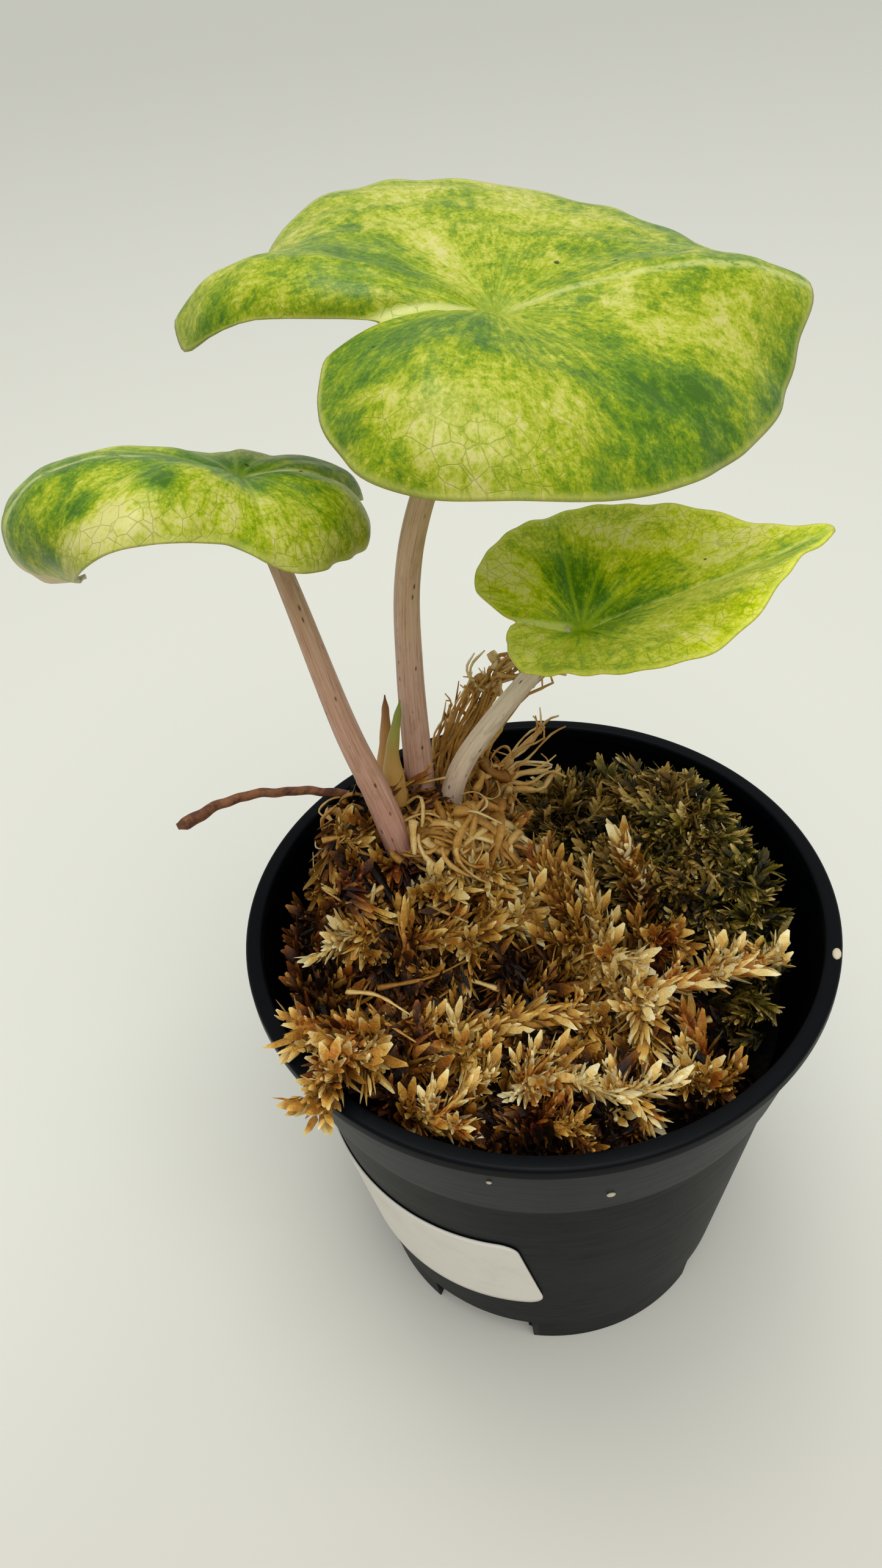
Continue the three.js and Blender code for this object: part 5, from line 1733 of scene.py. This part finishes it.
class PLANT_OT_tan_moss(bpy.types.Operator):
    """Model the bed of tan sphagnum moss"""

    bl_idname = "plant.tan_moss"
    bl_label = "Tan moss"

    def execute(self, context):
        # the bed's core is painted near black as shade between the sprigs
        bed_piece(peat("wet_peat", 0x180C04, 0x050302))
        kinds = ("catkin", "tipped", "lax", "ragged", "broad", "short")
        patterns = {name: sprig_pattern(name) for name in kinds}
        leaves = moss_skin(
            "sphagnum_tan", TAN_TONES, tint=0xEFA458, spread=0.7, painted_depth_shade=0x150B04, patch=3.0)
        threads = moss_skin(
            "sphagnum_threads", THREAD_TONES, tint=0xE8C080, spread=0.4, painted_depth_shade=0x150B04, patch=9.0)
        draw = draws(77)
        fine_count = context.scene.plant_moss.extra_sprigs
        for name, bm, skin in (
            ("moss_sprigs", large_sprigs(patterns, draw), leaves),
            ("moss_fine_sprigs", fine_sprigs(patterns, draw, fine_count), leaves),
            ("moss_fibres", loose_fibres(draws(508)), threads),
        ):
            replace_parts(finished(name, bm, [skin]), "moss_tan")
        return {"FINISHED"}


class PLANT_OT_olive_moss(bpy.types.Operator):
    """Model the bank of olive moss"""

    bl_idname = "plant.olive_moss"
    bl_label = "Olive moss"

    def execute(self, context):
        # the bank's core is painted near black as shade between the tufts
        bank_piece(peat("bank_peat", 0x1A170A, 0x060502))
        skin = moss_skin(
            "cushion_moss", OLIVE_TONES, tint=0xA6CC58, spread=0.85, painted_depth_shade=0x080903, patch=21.0,
            side=(25, 32))
        bm = bank_cover(draws(99), context.scene.plant_moss.extra_tufts)
        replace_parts(finished("bank_tufts", bm, [skin]), "moss_green")
        return {"FINISHED"}


class PLANT_OT_stage(bpy.types.Operator):
    """Set the floor, the soft lights and the camera"""

    bl_idname = "plant.stage"
    bl_label = "Stage"

    def execute(self, context):
        settings = context.scene.plant_stage
        scene = context.scene
        bm = bmesh.new()
        bmesh.ops.create_grid(bm, x_segments=1, y_segments=1, size=FLOOR_SIZE)
        mesh = bpy.data.meshes.new("floor")
        bm.to_mesh(mesh)
        bm.free()
        card, tree, shader = material("floor_card")
        depth = add_node(tree, "SeparateXYZ", {"Vector": object_mm(tree)}, "Y")
        # painted shade: the card darkens towards its back and a little towards its front, as light falling
        # off
        shaded = layered(
            tree, settings.floor,
            (0x8C8C84, (depth, 350.0, 1300.0, 0.2)),
            (0xB7AFA4, (depth, 20.0, -140.0, 0.62)))
        set_inputs(tree, shader, {"Base Color": shaded, "Roughness": 0.9, "Specular IOR Level": 0.1})
        mesh.materials.append(card)
        placed("floor", mesh)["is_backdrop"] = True

        world = bpy.data.worlds.new("studio")
        world.use_nodes = True
        sky = {"Color": linear(0xF4F5F2), "Strength": settings.sky}
        set_inputs(world.node_tree, world.node_tree.nodes["Background"], sky)
        scene.world = world
        sun = bpy.data.lights.new("key", "SUN")
        sun.energy = settings.sun
        sun.angle = math.radians(KEY_ANGLE)
        placed("key", sun).rotation_euler = [math.radians(tilt) for tilt in KEY_TILT]
        lamp = bpy.data.lights.new("overhead", "AREA")
        lamp.energy = settings.top
        lamp.size = OVERHEAD_SIZE
        holder = placed("overhead", lamp)
        holder.location = OVERHEAD_PLACE
        aim = Vector(OVERHEAD_AIM) - Vector(OVERHEAD_PLACE)
        holder.rotation_euler = aim.to_track_quat("-Z", "Y").to_euler()

        camera = bpy.data.cameras.new("camera")
        camera.sensor_width = SENSOR
        camera.lens = SENSOR * PHOTO_FOCUS_PIXELS / PHOTO_HEIGHT_PIXELS
        camera.clip_start = 0.01
        camera.clip_end = 20
        viewer = placed("camera", camera)
        viewer.matrix_world = (
            Matrix.Translation(Vector(CAMERA_PLACE) * MM)
            @ Matrix.Rotation(math.radians(90 - CAMERA_PITCH), 4, "X")
            @ Matrix.Rotation(math.radians(CAMERA_ROLL), 4, "Z")
        )
        scene.camera = viewer
        scene.view_settings.view_transform = "Standard"
        return {"FINISHED"}


class PLANT_PT_panel(bpy.types.Panel):
    """The plant's pieces and settings"""

    bl_label = "Potted alocasia"
    bl_idname = "PLANT_PT_panel"
    bl_space_type = "VIEW_3D"
    bl_region_type = "UI"
    bl_category = "Plant"

    def draw(self, context):
        for group, names in SETTINGS_SHOWN:
            box = self.layout.box()
            for name in names:
                box.prop(getattr(context.scene, group), name)
        for operator in OPERATORS:
            self.layout.operator(operator.bl_idname)


SETTINGS_SHOWN = (
    ("plant_pot", ("steps", "paper")),
    ("plant_leaves", ("thickness", "columns", "rows")),
    ("plant_moss", ("extra_sprigs", "extra_tufts")),
    ("plant_stage", ("floor", "sun", "top", "sky")),
)
GROUPS = {
    "plant_pot": PotSettings,
    "plant_leaves": LeafSettings,
    "plant_moss": MossSettings,
    "plant_stage": StageSettings,
}
OPERATORS = (
    PLANT_OT_pot, PLANT_OT_leaves, PLANT_OT_stalks, PLANT_OT_tan_moss, PLANT_OT_olive_moss, PLANT_OT_stage,
)


def register():
    for made in (*GROUPS.values(), *OPERATORS, PLANT_PT_panel):
        bpy.utils.register_class(made)
    for name, group in GROUPS.items():
        setattr(bpy.types.Scene, name, bpy.props.PointerProperty(type=group))


def unregister():
    for name in GROUPS:
        delattr(bpy.types.Scene, name)
    for made in (*GROUPS.values(), *OPERATORS, PLANT_PT_panel):
        bpy.utils.unregister_class(made)


def main():
    """Model every piece."""
    register()
    bpy.ops.plant.pot()
    bpy.ops.plant.leaves()
    bpy.ops.plant.stalks()
    bpy.ops.plant.tan_moss()
    bpy.ops.plant.olive_moss()
    bpy.ops.plant.stage()
    boxes = {"cad": CAD_BOX, "visual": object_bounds()}
    sizes = {name: [list(corner) for corner in box] for name, box in boxes.items()}


if __name__ == "__main__":
    main()
